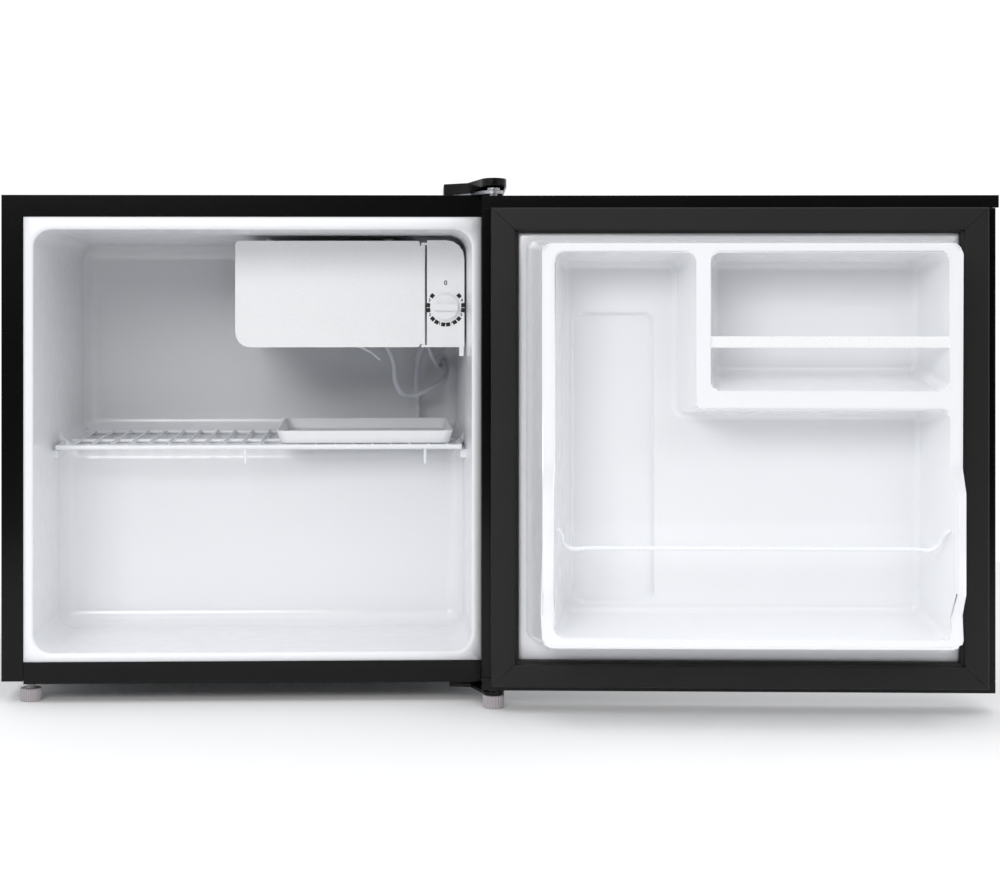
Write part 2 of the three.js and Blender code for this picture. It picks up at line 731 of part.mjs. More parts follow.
function dripTray() {
  const { front, depth } = trayBox;
  const middle = { x: (trayBox.left + trayBox.right) / 2, y: front + depth / 2 };
  // the walls flare out from the base to the rim
  const flared = (shrink, low, high) => {
    const [x0, x1] = [trayBox.left + shrink, trayBox.right - shrink];
    const shape = roundedRectangle(x0, x1, front + shrink, front + depth - shrink, evenRadii(9 - shrink), 3);
    const prism = new THREE.ExtrudeGeometry(shape, { depth: high - low, bevelEnabled: false });
    prism.translate(0, 0, low);
    const at = prism.getAttribute("position");
    for (let i = 0; i < at.count; i++) {
      const share = (tray.height + trayBottom - at.getZ(i)) / tray.height;
      at.setX(i, at.getX(i) - ((at.getX(i) - middle.x) / (tray.width / 2)) * tray.flare * share);
      at.setY(i, at.getY(i) - ((at.getY(i) - middle.y) / (depth / 2)) * tray.flare * share);
    }
    return solidOf(prism);
  };
  return flared(0, trayBottom, trayRim).subtract(flared(tray.wall, trayBottom + tray.wall, trayRim + 1));
}

// Door

// A space in the door, moulded from its mouth back to a depth
function doorRoom(side, front, back, radius, offset) {
  const grown = { x0: side.x0 - offset, x1: side.x1 + offset, z0: side.z0 - offset, z1: side.z1 + offset };
  return moulded(grown, front, back - offset, evenLean(roomLean), evenRadii(radius + offset));
}

// The moulded inside of the door. A positive offset gives the sheet's hidden side.
function doorMoulding(offset, base) {
  const run = dyke.height - offset;
  const spread = (run - base) * Math.tan(dyke.draft * degree);
  const footing = {
    x0: dykeBox.free + offset - spread * 0.5,
    x1: dykeBox.hinge - offset + spread,
    z0: dykeBox.low + offset - spread * 0.8,
    z1: dykeBox.high - offset + spread * 0.3,
  };
  const lean = { x0: dyke.draft * 0.5, x1: dyke.draft, z0: dyke.draft * 0.8, z1: dyke.draft * 0.3 };
  let body = moulded(footing, base, run, lean, evenRadii(dyke.corner));
  const low = dykeBox.low + shoulder.lift + offset;
  const high = low + shoulder.length - 2 * offset;
  const reach = run + shoulder.reach;
  const profile = [
    [run - 8, low - shoulder.ramp],
    [run, low - shoulder.ramp],
    [reach, low],
    [reach, high - shoulder.ramp],
    [run, high],
    [run - 8, high],
  ];
  for (const [x0, x1] of [
    [dykeBox.free + offset, inner.free - offset],
    [inner.hinge + offset, dykeBox.hinge - offset],
  ]) {
    body = body.add(rail(profile, x0, x1));
  }
  return body.subtract(doorRooms(offset));
}

function doorRooms(offset) {
  const pocketFloor = doorRise(pocket.rise);
  const shelfUnderside = pocketFloor - pocket.floorRib;
  const { free, hinge: hingeSide, low, high } = inner;
  const edge = leanAt(column.back) + column.recessGap;
  const recess = {
    x0: hingeSide - edge - column.recessWidth,
    x1: hingeSide - edge,
    z0: low + edge,
    z1: doorRise(column.recessTop),
  };
  const racks = { x0: free, x1: ribRight, z0: pocketFloor, z1: high };
  const tall = { x0: ribRight + pocket.rib, x1: hingeSide, z0: low, z1: high };
  const lower = { x0: free, x1: hingeSide, z0: low, z1: shelfUnderside };
  return doorRoom(racks, roomFront, pocket.back, 10, offset)
    .add(doorRoom(tall, roomFront, column.back, 10, offset))
    .add(doorRoom(lower, roomFront, column.back, 10, offset))
    .add(doorRoom(recess, column.back + 5, column.recessBack, 8, offset));
}

function doorLiner() {
  const p = linerPlate;
  const sheet = block(-p.half, p.half, p.back, linerBase, p.low, p.high);
  const raised = doorMoulding(0, linerBase - 0.5);
  const hollow = doorMoulding(wall.skin, p.back - 5);
  const made = sheet.add(raised).subtract(hollow).subtract(doorRooms(0));
  return made.subtract(retainerWire(retainer.radius + fit, 1.2 + fit)).subtract(guardRail(fit));
}

function doorFoam() {
  const side = halfWidth - door.sheet - fit;
  const low = doorLow + door.capHeight + fit;
  const high = doorHigh - door.capHeight - fit;
  const core = block(-side, side, door.front + door.sheet + fit, linerPlate.back - fit, low, high);
  return core.add(doorMoulding(wall.skin + fit, linerPlate.back - 5));
}

// The door's steel skin, its back edges turned in under the gasket
function doorPanel() {
  const low = doorLow + door.capHeight + fit;
  const high = doorHigh - door.capHeight - fit;
  const half = halfWidth;
  const t = door.sheet;
  const body = block(-half, half, door.front, linerBase, low, high);
  const hollow = block(-half + t, half - t, door.front + t, linerBase - t, low - 1, high + 1);
  const p = linerPlate;
  const mouth = block(-p.half - fit, p.half + fit, linerBase - 2 * t, 0, p.low - fit, p.high + fit);
  return body.subtract(hollow).subtract(mouth);
}

// A moulded end cap, hollow towards the foam, with the hinge bush's seat
function doorCap(isTop) {
  const half = halfWidth;
  const free = isTop ? half + door.capLip : half;
  const [low, high] = isTop ? [doorHigh - door.capHeight, doorHigh] : [doorLow, doorLow + door.capHeight];
  const shape = [
    [half - 2, door.front],
    [half, door.front + 2],
    [half, linerBase],
    [-free, linerBase],
    [-free, door.front + 3],
    [-free + 3, door.front],
  ];
  const skin = 2;
  const inside = isTop
    ? block(-half + skin, half - skin, door.front + skin, linerBase - skin, low - 1, high - skin)
    : block(-half + skin, half - skin, door.front + skin, linerBase - skin, low + skin, high + 1);
  const bushRadius = hinge.pinRadius + hinge.bushWall;
  const seat = rod("z", hingeX, hinge.y, low + 0.1, bushRadius + 2.2, door.capHeight - 0.2, 20);
  const solid = plate(shape, low, high).subtract(inside).add(seat);
  return solid.subtract(rod("z", hingeX, hinge.y, low - 1, bushRadius + fit, door.capHeight + 2, 20));
}

function hingeBush(isTop) {
  const low = isTop ? doorHigh - door.capHeight + 1 : doorLow;
  const bush = rod("z", hingeX, hinge.y, low, hinge.pinRadius + hinge.bushWall, door.capHeight - 1, 20);
  return bush.subtract(rod("z", hingeX, hinge.y, low - 1, pinHole, door.capHeight + 2, 20));
}

// The magnetic seal: a narrower foot under a wider bellows
function doorGasket() {
  const o = gasketOuter;
  const frame = (inset, y0, y1) => {
    const side = (inset * gasket.sideWidth) / gasket.width;
    return block(-o.half + side, o.half - side, y0, y1, o.low + inset, o.high - inset);
  };
  const ring = (from, to, y0, y1) => frame(from, y0, y1).subtract(frame(to, y0 - 1, y1 + 1));
  const body = ring(2, gasket.width, gasket.base, gasket.face - 4);
  return body.add(ring(0, gasket.width - 3, gasket.face - 4.5, gasket.face));
}

function guardRail(grow = 0) {
  const low = doorRise(guard.rise);
  const lean = leanAt(guardFront);
  const [x0, x1] = [inner.free + lean - 1.2 - grow, ribRight - lean + 1.2 + grow];
  const [y0, y1] = [guardFront - guard.thickness - grow, guardFront + grow];
  return block(x0, x1, y0, y1, low - grow, low + guard.height + grow);
}

function retainerWire(radius, sink = 1.2) {
  const r = retainer;
  const [runZ, endZ] = [doorRise(r.rise), doorRise(r.endRise)];
  const lean = leanAt(wireEnd);
  const [left, right] = [inner.free + lean, inner.hinge - lean];
  const end = (side, at) => [
    [at - side * sink, wireEnd, endZ],
    [at + side * 3, wireEnd, endZ],
    [at + side * 6, wireEnd - 3, endZ - 4],
    [at + side * 9, wireRun + 3, runZ + 4],
    [at + side * 14, wireRun, runZ],
    [at + side * 30, wireRun, runZ],
  ];
  return wire([...end(1, left), ...end(-1, right).reverse()], radius, 60, 8);
}

// Cooling engine at the back

function enginePlate() {
  const [y0, y1] = [bayFront + 12, cabinet.depth + 6];
  const side = halfWidth - cabinet.sheet - fit;
  const low = engine.plateTop - 2;
  const made = block(-side, side, y0, y1, low, engine.plateTop);
  const lip = block(-side, side, y1 - 2, y1, low, engine.plateTop + 14);
  return made.add(lip.subtract(rod("y", gland.x, y1 - 5, gland.z, gland.radius + fit, 8)));
}

// The bush where the supply cord leaves the compressor bay
function cordGland() {
  const lipBack = cabinet.depth + 6;
  const body = rod("y", gland.x, lipBack - 8, gland.z, gland.radius, 11);
  const flange = rod("y", gland.x, lipBack + fit, gland.z, gland.radius + 2.5, 2.7);
  return body.add(flange).subtract(rod("y", gland.x, lipBack - 10, gland.z, gland.bore, 20));
}

function compressorShell() {
  const e = engine;
  const profile = [
    [0, 0],
    [36, 2],
    [50, 10],
    [57, 26],
    [59, 60],
    [62, 61],
    [62, 65],
    [59, 66],
    [57, 98],
    [48, 116],
    [30, 126],
    [0, 128],
  ];
  const points = profile.map(([r, h]) => new THREE.Vector2(r, h));
  const pot = new THREE.LatheGeometry(points, 28).rotateX(Math.PI / 2);
  pot.scale(e.width / 124, e.depth / 124, engineHeight / 128).translate(e.x, engineY, e.bottom + 1);
  let base = block(e.x - 42, e.x + 42, engineY - 50, engineY + 50, e.bottom, e.bottom + 3);
  for (const dy of [-46, 46]) {
    base = base.add(block(e.x - 84, e.x + 84, engineY + dy - 10, engineY + dy + 10, e.bottom, e.bottom + 3));
  }
  return solidOf(pot).add(base);
}

function grommet(x, y) {
  const low = engine.plateTop + fit;
  const high = engine.bottom - fit;
  const middle = (high - low) / 2;
  const profile = [
    [0, 0],
    [9, 0],
    [9, 4],
    [7, middle],
    [9, high - low - 4],
    [9, high - low],
    [0, high - low],
  ];
  return turned(profile, x, y, low, 16);
}

function terminalCover() {
  const e = engine;
  const x0 = e.x - e.width / 2 - 30;
  const outline = roundedRectangle(x0, x0 + 42, e.bottom + 26, e.bottom + 82, evenRadii(4), 3);
  const body = slab(outline, engineY - 24, engineY + 24);
  const pot = rod("z", e.x, engineY, e.bottom, e.width / 2 + fit, engineHeight, 28);
  const cleared = body.subtract(pot);
  return cleared.subtract(rod("z", x0 + 10, engineY, e.bottom + 20, 4.2, 20, 12));
}

const coilTop = cabinetTop - coil.topGap;
const coilPitch = (coilTop - coil.low) / (coil.passes - 1);

function condenserCoil() {
  const side = halfWidth - coil.margin;
  const bend = coilPitch / 2;
  const points = [];
  for (let i = 0; i < coil.passes; i++) {
    const z = coil.low + i * coilPitch;
    const out = i % 2 ? -1 : 1;
    points.push([-out * side, z], [out * side, z]);
    if (i === coil.passes - 1) break;
    for (const a of [-60, -30, 0, 30, 60]) {
      points.push([out * (side + bend * Math.cos(a * degree)), z + bend + bend * Math.sin(a * degree)]);
    }
  }
  return tubeThrough(points.map(([x, z]) => new THREE.Vector3(x, coilY, z)), coil.tube, 8);
}

function coilBracket(x) {
  const front = cabinet.depth + fit;
  const back = coilY - coil.tube - fit;
  const [low, high] = [coil.low, coilTop];
  const profile = [
    [front, low - 14],
    [front + 1.2, low - 14],
    [front + 1.2, low - 4],
    [back, low - 4],
    [back, high + 4],
    [front + 1.2, high + 4],
    [front + 1.2, high + 14],
    [front, high + 14],
    [front, high + 2.8],
    [back - 1.2, high + 2.8],
    [back - 1.2, low - 2.8],
    [front, low - 2.8],
  ];
  return rail(profile, x - coil.strip / 2, x + coil.strip / 2);
}

// The drier stands beside the compressor, between the coil's lower end and the capillary.
const drier = { x: halfWidth - 31, y: cabinet.depth - 14, low: bayTop - 114, radius: 8, height: 94 };

function filterDrier() {
  const h = drier.height;
  const profile = [
    [0, 0],
    [2.2, 0],
    [2.2, 8],
    [drier.radius, 16],
    [drier.radius, h - 18],
    [2.2, h - 8],
    [2.2, h],
    [0, h],
  ];
  return turned(profile, drier.x, drier.y, drier.low, 16);
}

// From the compressor's outlet to the lower end of the coil
const coilEnd = -halfWidth + coil.margin;
const dischargePath = [
  [engine.x - 66, engineY + 46, 100],
  [engine.x - 78, engineY + 58, 104],
  [engine.x - 100, coilY - 4, 112],
  [engine.x - 130, coilY, 124],
  [coilEnd + 10, coilY, 158],
  [coilEnd - 12, coilY, 172],
  [coilEnd - 20, coilY, 190],
  [coilEnd - 16, coilY, coil.low - 6],
  [coilEnd - 1, coilY, coil.low],
];
const returnPath = [
  [suction.x, suction.y, bayTop - 14],
  [suction.x + 4, suction.y, bayTop - 34],
  [suction.x + 2, suction.y + 4, bayTop - 60],
  [engine.x + 77, engineY + 29, 108],
];

// Assembly

piece("outer_shell", outerShell(), finishes.blackPaint, fridge);
piece("bottom_front_rail", bottomRail(), finishes.blackPaint, fridge);
piece("base_pan", basePan(), finishes.zincSteel, fridge);
piece("back_panel", backPanel(), finishes.blackPaint, fridge);
piece("inner_liner", innerLiner(), finishes.whiteLiner, fridge);
piece("foam_insulation", foamInsulation(), finishes.foam, fridge);
const leftStudTop = floorPlateZ - fit;
piece("foot_front_left", levellingFoot(leftFoot.x, leftFoot.y, leftStudTop), finishes.footPlastic, fridge);
piece("foot_front_right", levellingFoot(hingeX, hinge.y, bottomPlate.high), finishes.footPlastic, fridge);
piece("foot_rear_left", rearFoot(-1), finishes.rubber, fridge);
piece("foot_rear_right", rearFoot(1), finishes.rubber, fridge);

piece("top_hinge_plate", topHingePlate(), finishes.zincSteel, fridge);
piece("top_hinge_pin", topHingePin(), finishes.zincSteel, fridge);
piece("top_hinge_cover", topHingeCover(), finishes.blackPlastic, fridge);
const topScrewZ = topPlateZ + hinge.plate + fit;
hingeScrews.forEach(([x, y], i) =>
  piece(`top_hinge_screw_${i + 1}`, screw(x, y, topScrewZ, 3.5), finishes.zincSteel, fridge),
);
piece("bottom_hinge_bracket", bottomHingeBracket(), finishes.blackPaint, fridge);
piece("bottom_hinge_pin", bottomHingePin(), finishes.zincSteel, fridge);
bracketScrews.forEach(([x, y], i) =>
  piece(`bottom_hinge_screw_${i + 1}`, bracketScrew(x, y), finishes.zincSteel, fridge),
);

piece("evaporator", evaporatorBox(), finishes.aluminium, fridge);
[coldBox.left + 28, coldBox.right - 28].forEach((x, i) =>
  piece(`evaporator_hanger_${i + 1}`, evaporatorHanger(x, 140), finishes.whitePlastic, fridge),
);
piece("thermostat_housing", controlHousing(), finishes.whitePlastic, fridge);
piece("thermostat_body", thermostatBody(), finishes.zincSteel, fridge);
piece("thermostat_probe", probeTube(), finishes.whitePlastic, fridge);
piece("capillary_tube", wire(capillaryPath, 2.6, 40, 8), finishes.whitePlastic, fridge);
piece("sensor_lead", wire(sensorPath, 2, 24, 8), finishes.whitePlastic, fridge);
piece("suction_tube", wire(suctionPath, 3.2, 24, 8), finishes.whitePlastic, fridge);
piece("tube_grommet", tubeGrommet(), finishes.rubber, fridge);

piece("compressor_plate", enginePlate(), finishes.zincSteel, fridge);
piece("compressor", compressorShell(), finishes.blackPaint, fridge);
[
  [-74, -46],
  [-74, 46],
  [74, -46],
  [74, 46],
].forEach(([dx, dy], i) =>
  piece(`compressor_grommet_${i + 1}`, grommet(engine.x + dx, engineY + dy), finishes.rubber, fridge),
);
piece("terminal_cover", terminalCover(), finishes.blackPlastic, fridge);
piece("cord_gland", cordGland(), finishes.rubber, fridge);
piece("condenser_coil", condenserCoil(), finishes.blackPaint, fridge);
piece("condenser_bracket_left", coilBracket(-halfWidth / 2), finishes.blackPaint, fridge);
piece("condenser_bracket_right", coilBracket(halfWidth / 2), finishes.blackPaint, fridge);
piece("filter_drier", filterDrier(), finishes.copper, fridge);
piece("discharge_pipe", wire(dischargePath, 2.4, 30, 8), finishes.copper, fridge);
piece("suction_pipe", wire(returnPath, 3.2, 14, 8), finishes.copper, fridge);

piece("thermostat_dial", thermostatDial(), finishes.whitePlastic, fridge);
piece("freezer_flap", freezerFlap(), finishes.whitePlastic, fridge);
piece("wire_shelf", wireShelf(), finishes.whiteWire, fridge);
piece("drip_tray", dripTray(), finishes.whitePlastic, fridge);

piece("door_panel", doorPanel(), finishes.blackPaint, doorGroup);
piece("door_top_cap", doorCap(true), finishes.blackPlastic, doorGroup);
piece("door_bottom_cap", doorCap(false), finishes.blackPlastic, doorGroup);
piece("door_top_bush", hingeBush(true), finishes.whitePlastic, doorGroup);
piece("door_bottom_bush", hingeBush(false), finishes.whitePlastic, doorGroup);
piece("door_foam", doorFoam(), finishes.foam, doorGroup);
piece("door_liner", doorLiner(), finishes.whiteLiner, doorGroup);
piece("door_gasket", doorGasket(), finishes.gasketVinyl, doorGroup);
piece("door_guard_rail", guardRail(), finishes.whitePlastic, doorGroup);
piece("door_retainer_wire", retainerWire(retainer.radius), finishes.whiteWire, doorGroup);

// The door turns about its pins, from closed to its rest position
const swing = new THREE.Group();
swing.position.set(hingeX, hinge.y, 0);
swing.rotation.z = hinge.openAngle * degree;
doorGroup.position.set(-hingeX, -hinge.y, 0);
swing.add(doorGroup);
fridge.add(swing);

fridge.updateMatrixWorld(true);
const footprint = new THREE.Box3().setFromObject(fridge, true);
const middle = footprint.getCenter(new THREE.Vector3());
fridge.position.set(-middle.x, -middle.y, -footprint.min.z);

export default fridge;
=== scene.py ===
# Mini fridge with its door swung open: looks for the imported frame
import json
import math
import bmesh
import bpy
from mathutils import Matrix, Vector


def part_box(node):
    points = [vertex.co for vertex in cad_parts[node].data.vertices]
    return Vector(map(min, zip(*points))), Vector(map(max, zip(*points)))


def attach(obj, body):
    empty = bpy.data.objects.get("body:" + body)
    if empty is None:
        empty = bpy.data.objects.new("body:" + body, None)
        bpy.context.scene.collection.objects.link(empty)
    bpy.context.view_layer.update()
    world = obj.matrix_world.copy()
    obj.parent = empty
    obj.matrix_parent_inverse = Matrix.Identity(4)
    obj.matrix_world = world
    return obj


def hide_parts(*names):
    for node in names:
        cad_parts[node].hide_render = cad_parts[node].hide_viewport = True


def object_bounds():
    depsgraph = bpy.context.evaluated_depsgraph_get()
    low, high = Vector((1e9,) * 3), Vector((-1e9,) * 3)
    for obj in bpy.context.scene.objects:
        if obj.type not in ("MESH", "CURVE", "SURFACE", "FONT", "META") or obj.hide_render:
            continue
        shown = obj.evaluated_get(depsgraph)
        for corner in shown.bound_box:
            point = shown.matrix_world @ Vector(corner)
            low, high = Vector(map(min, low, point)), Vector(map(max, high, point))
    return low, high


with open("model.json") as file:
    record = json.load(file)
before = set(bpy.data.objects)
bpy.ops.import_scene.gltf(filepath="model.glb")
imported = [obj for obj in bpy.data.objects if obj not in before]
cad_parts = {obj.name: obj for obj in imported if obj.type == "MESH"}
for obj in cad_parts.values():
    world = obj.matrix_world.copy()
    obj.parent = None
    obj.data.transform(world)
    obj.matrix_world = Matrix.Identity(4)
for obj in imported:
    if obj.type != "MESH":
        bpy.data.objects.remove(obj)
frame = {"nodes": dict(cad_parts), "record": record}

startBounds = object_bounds()

# Working coordinates are millimetres about the cabinet: x = 0 its middle, y = 0 its front face, z = 0 the floor.
# The door is modelled shut, then swung open about its pins, as the rest pose has it.
mm = 0.001
shellLow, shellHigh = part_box("outer_shell")
middleX = (shellLow.x + shellHigh.x) / 2
frontY = shellLow.y
joints = {j["name"]: j for j in frame["record"]["behaviour"]["joints"]}
hingePos = Vector(joints["door_hinge"]["pos_m"])
openAngle = -math.radians(joints["door_hinge"]["range_deg"][0])
toFrame = Matrix.Translation((middleX, frontY, 0)) @ Matrix.Scale(mm, 4)
swing = Matrix.Translation((hingePos.x, hingePos.y, 0)) @ Matrix.Rotation(openAngle, 4, "Z") @ Matrix.Translation(
    (-hingePos.x, -hingePos.y, 0))
doorToFrame = swing @ toFrame


class Span:
    # a CAD node's box in working coordinates, with the door shut
    def __init__(self, node, onDoor=False):
        back = (doorToFrame if onDoor else toFrame).inverted()
        points = [back @ v.co for v in frame["nodes"][node].data.vertices]
        self.x0, self.y0, self.z0 = (min(p[i] for p in points) for i in range(3))
        self.x1, self.y1, self.z1 = (max(p[i] for p in points) for i in range(3))
        self.x, self.y, self.z = (self.x0 + self.x1) / 2, (self.y0 + self.y1) / 2, (self.z0 + self.z1) / 2


# ---- mesh helpers

def finishPiece(name, bm, body, replaced=(), onDoor=False, material=None, smoothAngle=40, weighted=True):
    # one bmesh in working coordinates becomes a piece that rides with a body
    bm.transform(doorToFrame if onDoor else toFrame)
    mesh = bpy.data.meshes.new(name)
    bm.to_mesh(mesh)
    bm.free()
    obj = bpy.data.objects.new(name, mesh)
    bpy.context.scene.collection.objects.link(obj)
    mesh.shade_smooth()
    mesh.set_sharp_from_angle(angle=math.radians(smoothAngle))
    if weighted:
        keep = obj.modifiers.new("weightedNormals", "WEIGHTED_NORMAL")
        keep.keep_sharp = True
    if material:
        mesh.materials.append(material)
    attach(obj, body)
    if replaced:
        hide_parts(*replaced)
    return obj


def refined(node, body, material, onDoor=False, bevel=0.6, segments=2, creaseAngle=35, smoothAngle=35, name=None):
    # a CAD node's own shape with its triangles merged and its edges rolled over
    bm = bmesh.new()
    bm.from_mesh(frame["nodes"][node].data)
    bm.transform((doorToFrame if onDoor else toFrame).inverted())
    bmesh.ops.remove_doubles(bm, verts=bm.verts, dist=0.002)
    bmesh.ops.dissolve_degenerate(bm, dist=0.002, edges=bm.edges)
    bmesh.ops.dissolve_limit(bm, angle_limit=math.radians(0.8), verts=bm.verts, edges=bm.edges)
    bm.normal_update()
    if bevel:
        edges = [e for e in bm.edges if len(e.link_faces) == 2 and e.calc_face_angle(0) > math.radians(creaseAngle)]
        bmesh.ops.bevel(bm, geom=edges, offset=bevel, segments=segments, affect="EDGES", profile=0.5, material=-1,
                        clamp_overlap=True)
    return finishPiece(name or node + "_finished", bm, body, [node], onDoor, material, smoothAngle)


def addBox(bm, x0, x1, y0, y1, z0, z1):
    made = bmesh.ops.create_cube(bm, size=1)["verts"]
    bmesh.ops.scale(bm, vec=(x1 - x0, y1 - y0, z1 - z0), verts=made)
    bmesh.ops.translate(bm, vec=((x0 + x1) / 2, (y0 + y1) / 2, (z0 + z1) / 2), verts=made)
    return made


def bevelEdges(bm, edges, offset, segments):
    return bmesh.ops.bevel(bm, geom=edges, offset=offset, segments=segments, affect="EDGES", profile=0.5,
                           material=-1, clamp_overlap=True)


def addRod(bm, start, end, radius, sides=16, rounding=0.0):
    # a straight wire or pin from one point to another, with softened ends
    a, b = Vector(start), Vector(end)
    made = bmesh.ops.create_cone(bm, cap_ends=True, segments=sides, radius1=radius, radius2=radius,
                                 depth=(b - a).length)["verts"]
    turn = (b - a).to_track_quat("Z", "Y").to_matrix()
    bmesh.ops.rotate(bm, cent=(0, 0, 0), matrix=turn, verts=made)
    bmesh.ops.translate(bm, vec=(a + b) / 2, verts=made)
    if rounding:
        caps = {e for v in made for e in v.link_edges if any(len(f.verts) > 4 for f in e.link_faces)}
        bevelEdges(bm, list(caps), rounding, 2)
    return made


def interpolate(start, startSlope, end, endSlope, t):
    # a cubic between two points with its slope at each
    return (start * (2 * t ** 3 - 3 * t ** 2 + 1) + startSlope * (t ** 3 - 2 * t ** 2 + t)
            + end * (3 * t ** 2 - 2 * t ** 3) + endSlope * (t ** 3 - t ** 2))


def addTube(bm, points, radius, sides=16, perSpan=8):
    # a bent wire or tube: one ring pushed along a smooth path
    at = [Vector(p) for p in points]
    path = []
    for i in range(len(at) - 1):
        # the bend at each point is shared out by the lengths on its two sides, so no span overshoots
        reach = (at[i + 1] - at[i]).length
        slopes = []
        for k in (i, i + 1):
            arriving = at[k] - at[k - 1] if k > 0 else at[1] - at[0]
            leaving = at[k + 1] - at[k] if k + 1 < len(at) else arriving
            a, b = arriving.length, leaving.length
            slopes.append((arriving / a * b + leaving / b * a) / (a + b))
        for step in range(perSpan):
            path.append(interpolate(at[i], slopes[0] * reach, at[i + 1], slopes[1] * reach, step / perSpan))
    path.append(at[-1])
    frames = []
    normal = (path[1] - path[0]).orthogonal().normalized()
    for i, at in enumerate(path):
        ahead = (path[min(i + 1, len(path) - 1)] - path[max(i - 1, 0)]).normalized()
        normal = (normal - ahead * normal.dot(ahead)).normalized()
        here = Matrix((ahead.cross(normal), normal, ahead)).transposed().to_4x4()
        here.translation = at
        frames.append(here)
    ring = bmesh.ops.create_circle(bm, cap_ends=True, segments=sides, radius=radius)["verts"]
    bmesh.ops.transform(bm, matrix=frames[0], verts=ring)
    edges = list({e for v in ring for e in v.link_edges})
    for before, after in zip(frames, frames[1:]):
        made = bmesh.ops.extrude_edge_only(bm, edges=edges)["geom"]
        edges = [g for g in made if isinstance(g, bmesh.types.BMEdge)]
        ring = [g for g in made if isinstance(g, bmesh.types.BMVert)]
        bmesh.ops.transform(bm, matrix=after @ before.inverted(), verts=ring)
    bmesh.ops.contextual_create(bm, geom=edges)
    bmesh.ops.recalc_face_normals(bm, faces=bm.faces)


# ---- materials

def linear(hexColour):
    parts = [int(hexColour[i:i + 2], 16) / 255 for i in (1, 3, 5)]
    return tuple(c / 12.92 if c <= 0.04045 else ((c + 0.055) / 1.055) ** 2.4 for c in parts) + (1.0,)


def addNode(material, kind, settings=None, links=None):
    # one shader node with its socket values and its incoming links
    node = material.node_tree.nodes.new(kind)
    for key, value in (settings or {}).items():
        if key in node.inputs:
            node.inputs[key].default_value = value
        else:
            setattr(node, key, value)
    for key, source in (links or {}).items():
        material.node_tree.links.new(source, node.inputs[key])
    return node


def newMaterial(name, roughness, metallic=0.0, ior=1.5, coat=0.0, coatRoughness=0.05):
    material = bpy.data.materials.new(name)
    material.use_nodes = True
    shader = material.node_tree.nodes["Principled BSDF"]
    shader.inputs["Roughness"].default_value = roughness
    shader.inputs["Metallic"].default_value = metallic
    if not metallic:
        shader.inputs["IOR"].default_value = ior
    shader.inputs["Coat Weight"].default_value = coat
    shader.inputs["Coat Roughness"].default_value = coatRoughness
    return material, shader


def surface(name, dark, light, roughness, spread, grainMm, bumpMm, blotchMm=60, metallic=0.0, ior=1.5, coat=0.0,
            coatRoughness=0.05, stretch=(1, 1, 1)):
    # colour drifts between two hexes over blotchMm, grain of grainMm moves roughness and bump
    material, shader = newMaterial(name, roughness, metallic, ior, coat, coatRoughness)
    place = addNode(material, "ShaderNodeTexCoord")
    stretched = addNode(material, "ShaderNodeMapping", {"Scale": stretch}, {"Vector": place.outputs["Object"]})
    blotch = addNode(material, "ShaderNodeTexNoise", {"Scale": 1000 / blotchMm, "Detail": 3.0, "Roughness": 0.55},
                     {"Vector": place.outputs["Object"]})
    grain = addNode(material, "ShaderNodeTexNoise", {"Scale": 1000 / grainMm, "Detail": 2.0, "Roughness": 0.6},
                    {"Vector": stretched.outputs["Vector"]})
    colour = addNode(material, "ShaderNodeMix", {"data_type": "RGBA"})
    colour.inputs[6].default_value = linear(dark)
    colour.inputs[7].default_value = linear(light)
    material.node_tree.links.new(blotch.outputs["Fac"], colour.inputs["Factor"])
    material.node_tree.links.new(colour.outputs[2], shader.inputs["Base Color"])
    rough = addNode(material, "ShaderNodeMapRange",
                    {"From Min": 0.3, "From Max": 0.7, "To Min": roughness - spread, "To Max": roughness + spread},
                    {"Value": grain.outputs["Fac"]})
    material.node_tree.links.new(rough.outputs["Result"], shader.inputs["Roughness"])
    bump = addNode(material, "ShaderNodeBump", {"Strength": 1.0, "Distance": bumpMm * mm},
                   {"Height": grain.outputs["Fac"]})
    material.node_tree.links.new(bump.outputs["Normal"], shader.inputs["Normal"])
    return material


# Enamelled steel: sprayed and baked, so a faint orange peel about 1.5 mm across breaks up its reflections
blackEnamel = surface("BlackEnamelledSteel", "#060607", "#09090a", 0.22, 0.03, 1.6, 0.006, ior=1.3)
# ABS mouldings: an even fine texture, softer in its shine than the enamel
blackAbs = surface("BlackAbs", "#070708", "#0b0b0c", 0.24, 0.04, 0.7, 0.005, ior=1.32)
# Vinyl extrusion: slightly matt, with a drawn look and a dusty drift of grey
gasketVinyl = surface("GasketVinyl", "#171415", "#1b191a", 0.5, 0.06, 1.2, 0.02, ior=1.38)
# High-impact polystyrene, vacuum formed and glossy: the sheet is faintly rippled over some 20 mm
linerSheet = surface("WhiteHipsSheet", "#f0f1f4", "#f3f4f6", 0.2, 0.03, 14.0, 0.05, blotchMm=180, ior=1.59)
# Injection-moulded polystyrene: cleaner white, a little softer in its shine
whiteMoulding = surface("WhitePolystyrene", "#f2f3f4", "#f5f5f6", 0.28, 0.04, 1.0, 0.008, ior=1.59)
# Epoxy-coated wire: thick coating that pools smooth
coatedWire = surface("WhiteEpoxyWire", "#eceef2", "#f3f4f6", 0.25, 0.04, 2.5, 0.03, ior=1.55)
# Zinc-plated steel: pale, with a streaked passivation film
zincSteel = surface("ZincPlatedSteel", "#a9acb0", "#c3c5c8", 0.32, 0.08, 1.5, 0.01, blotchMm=12, metallic=1.0)
# Rolled aluminium: fine lines along the rolling direction
rolledAluminium = surface("RolledAluminium", "#b4b8bd", "#c6c9cd", 0.34, 0.07, 0.8, 0.01, metallic=1.0,
                          stretch=(1, 0.05, 1))
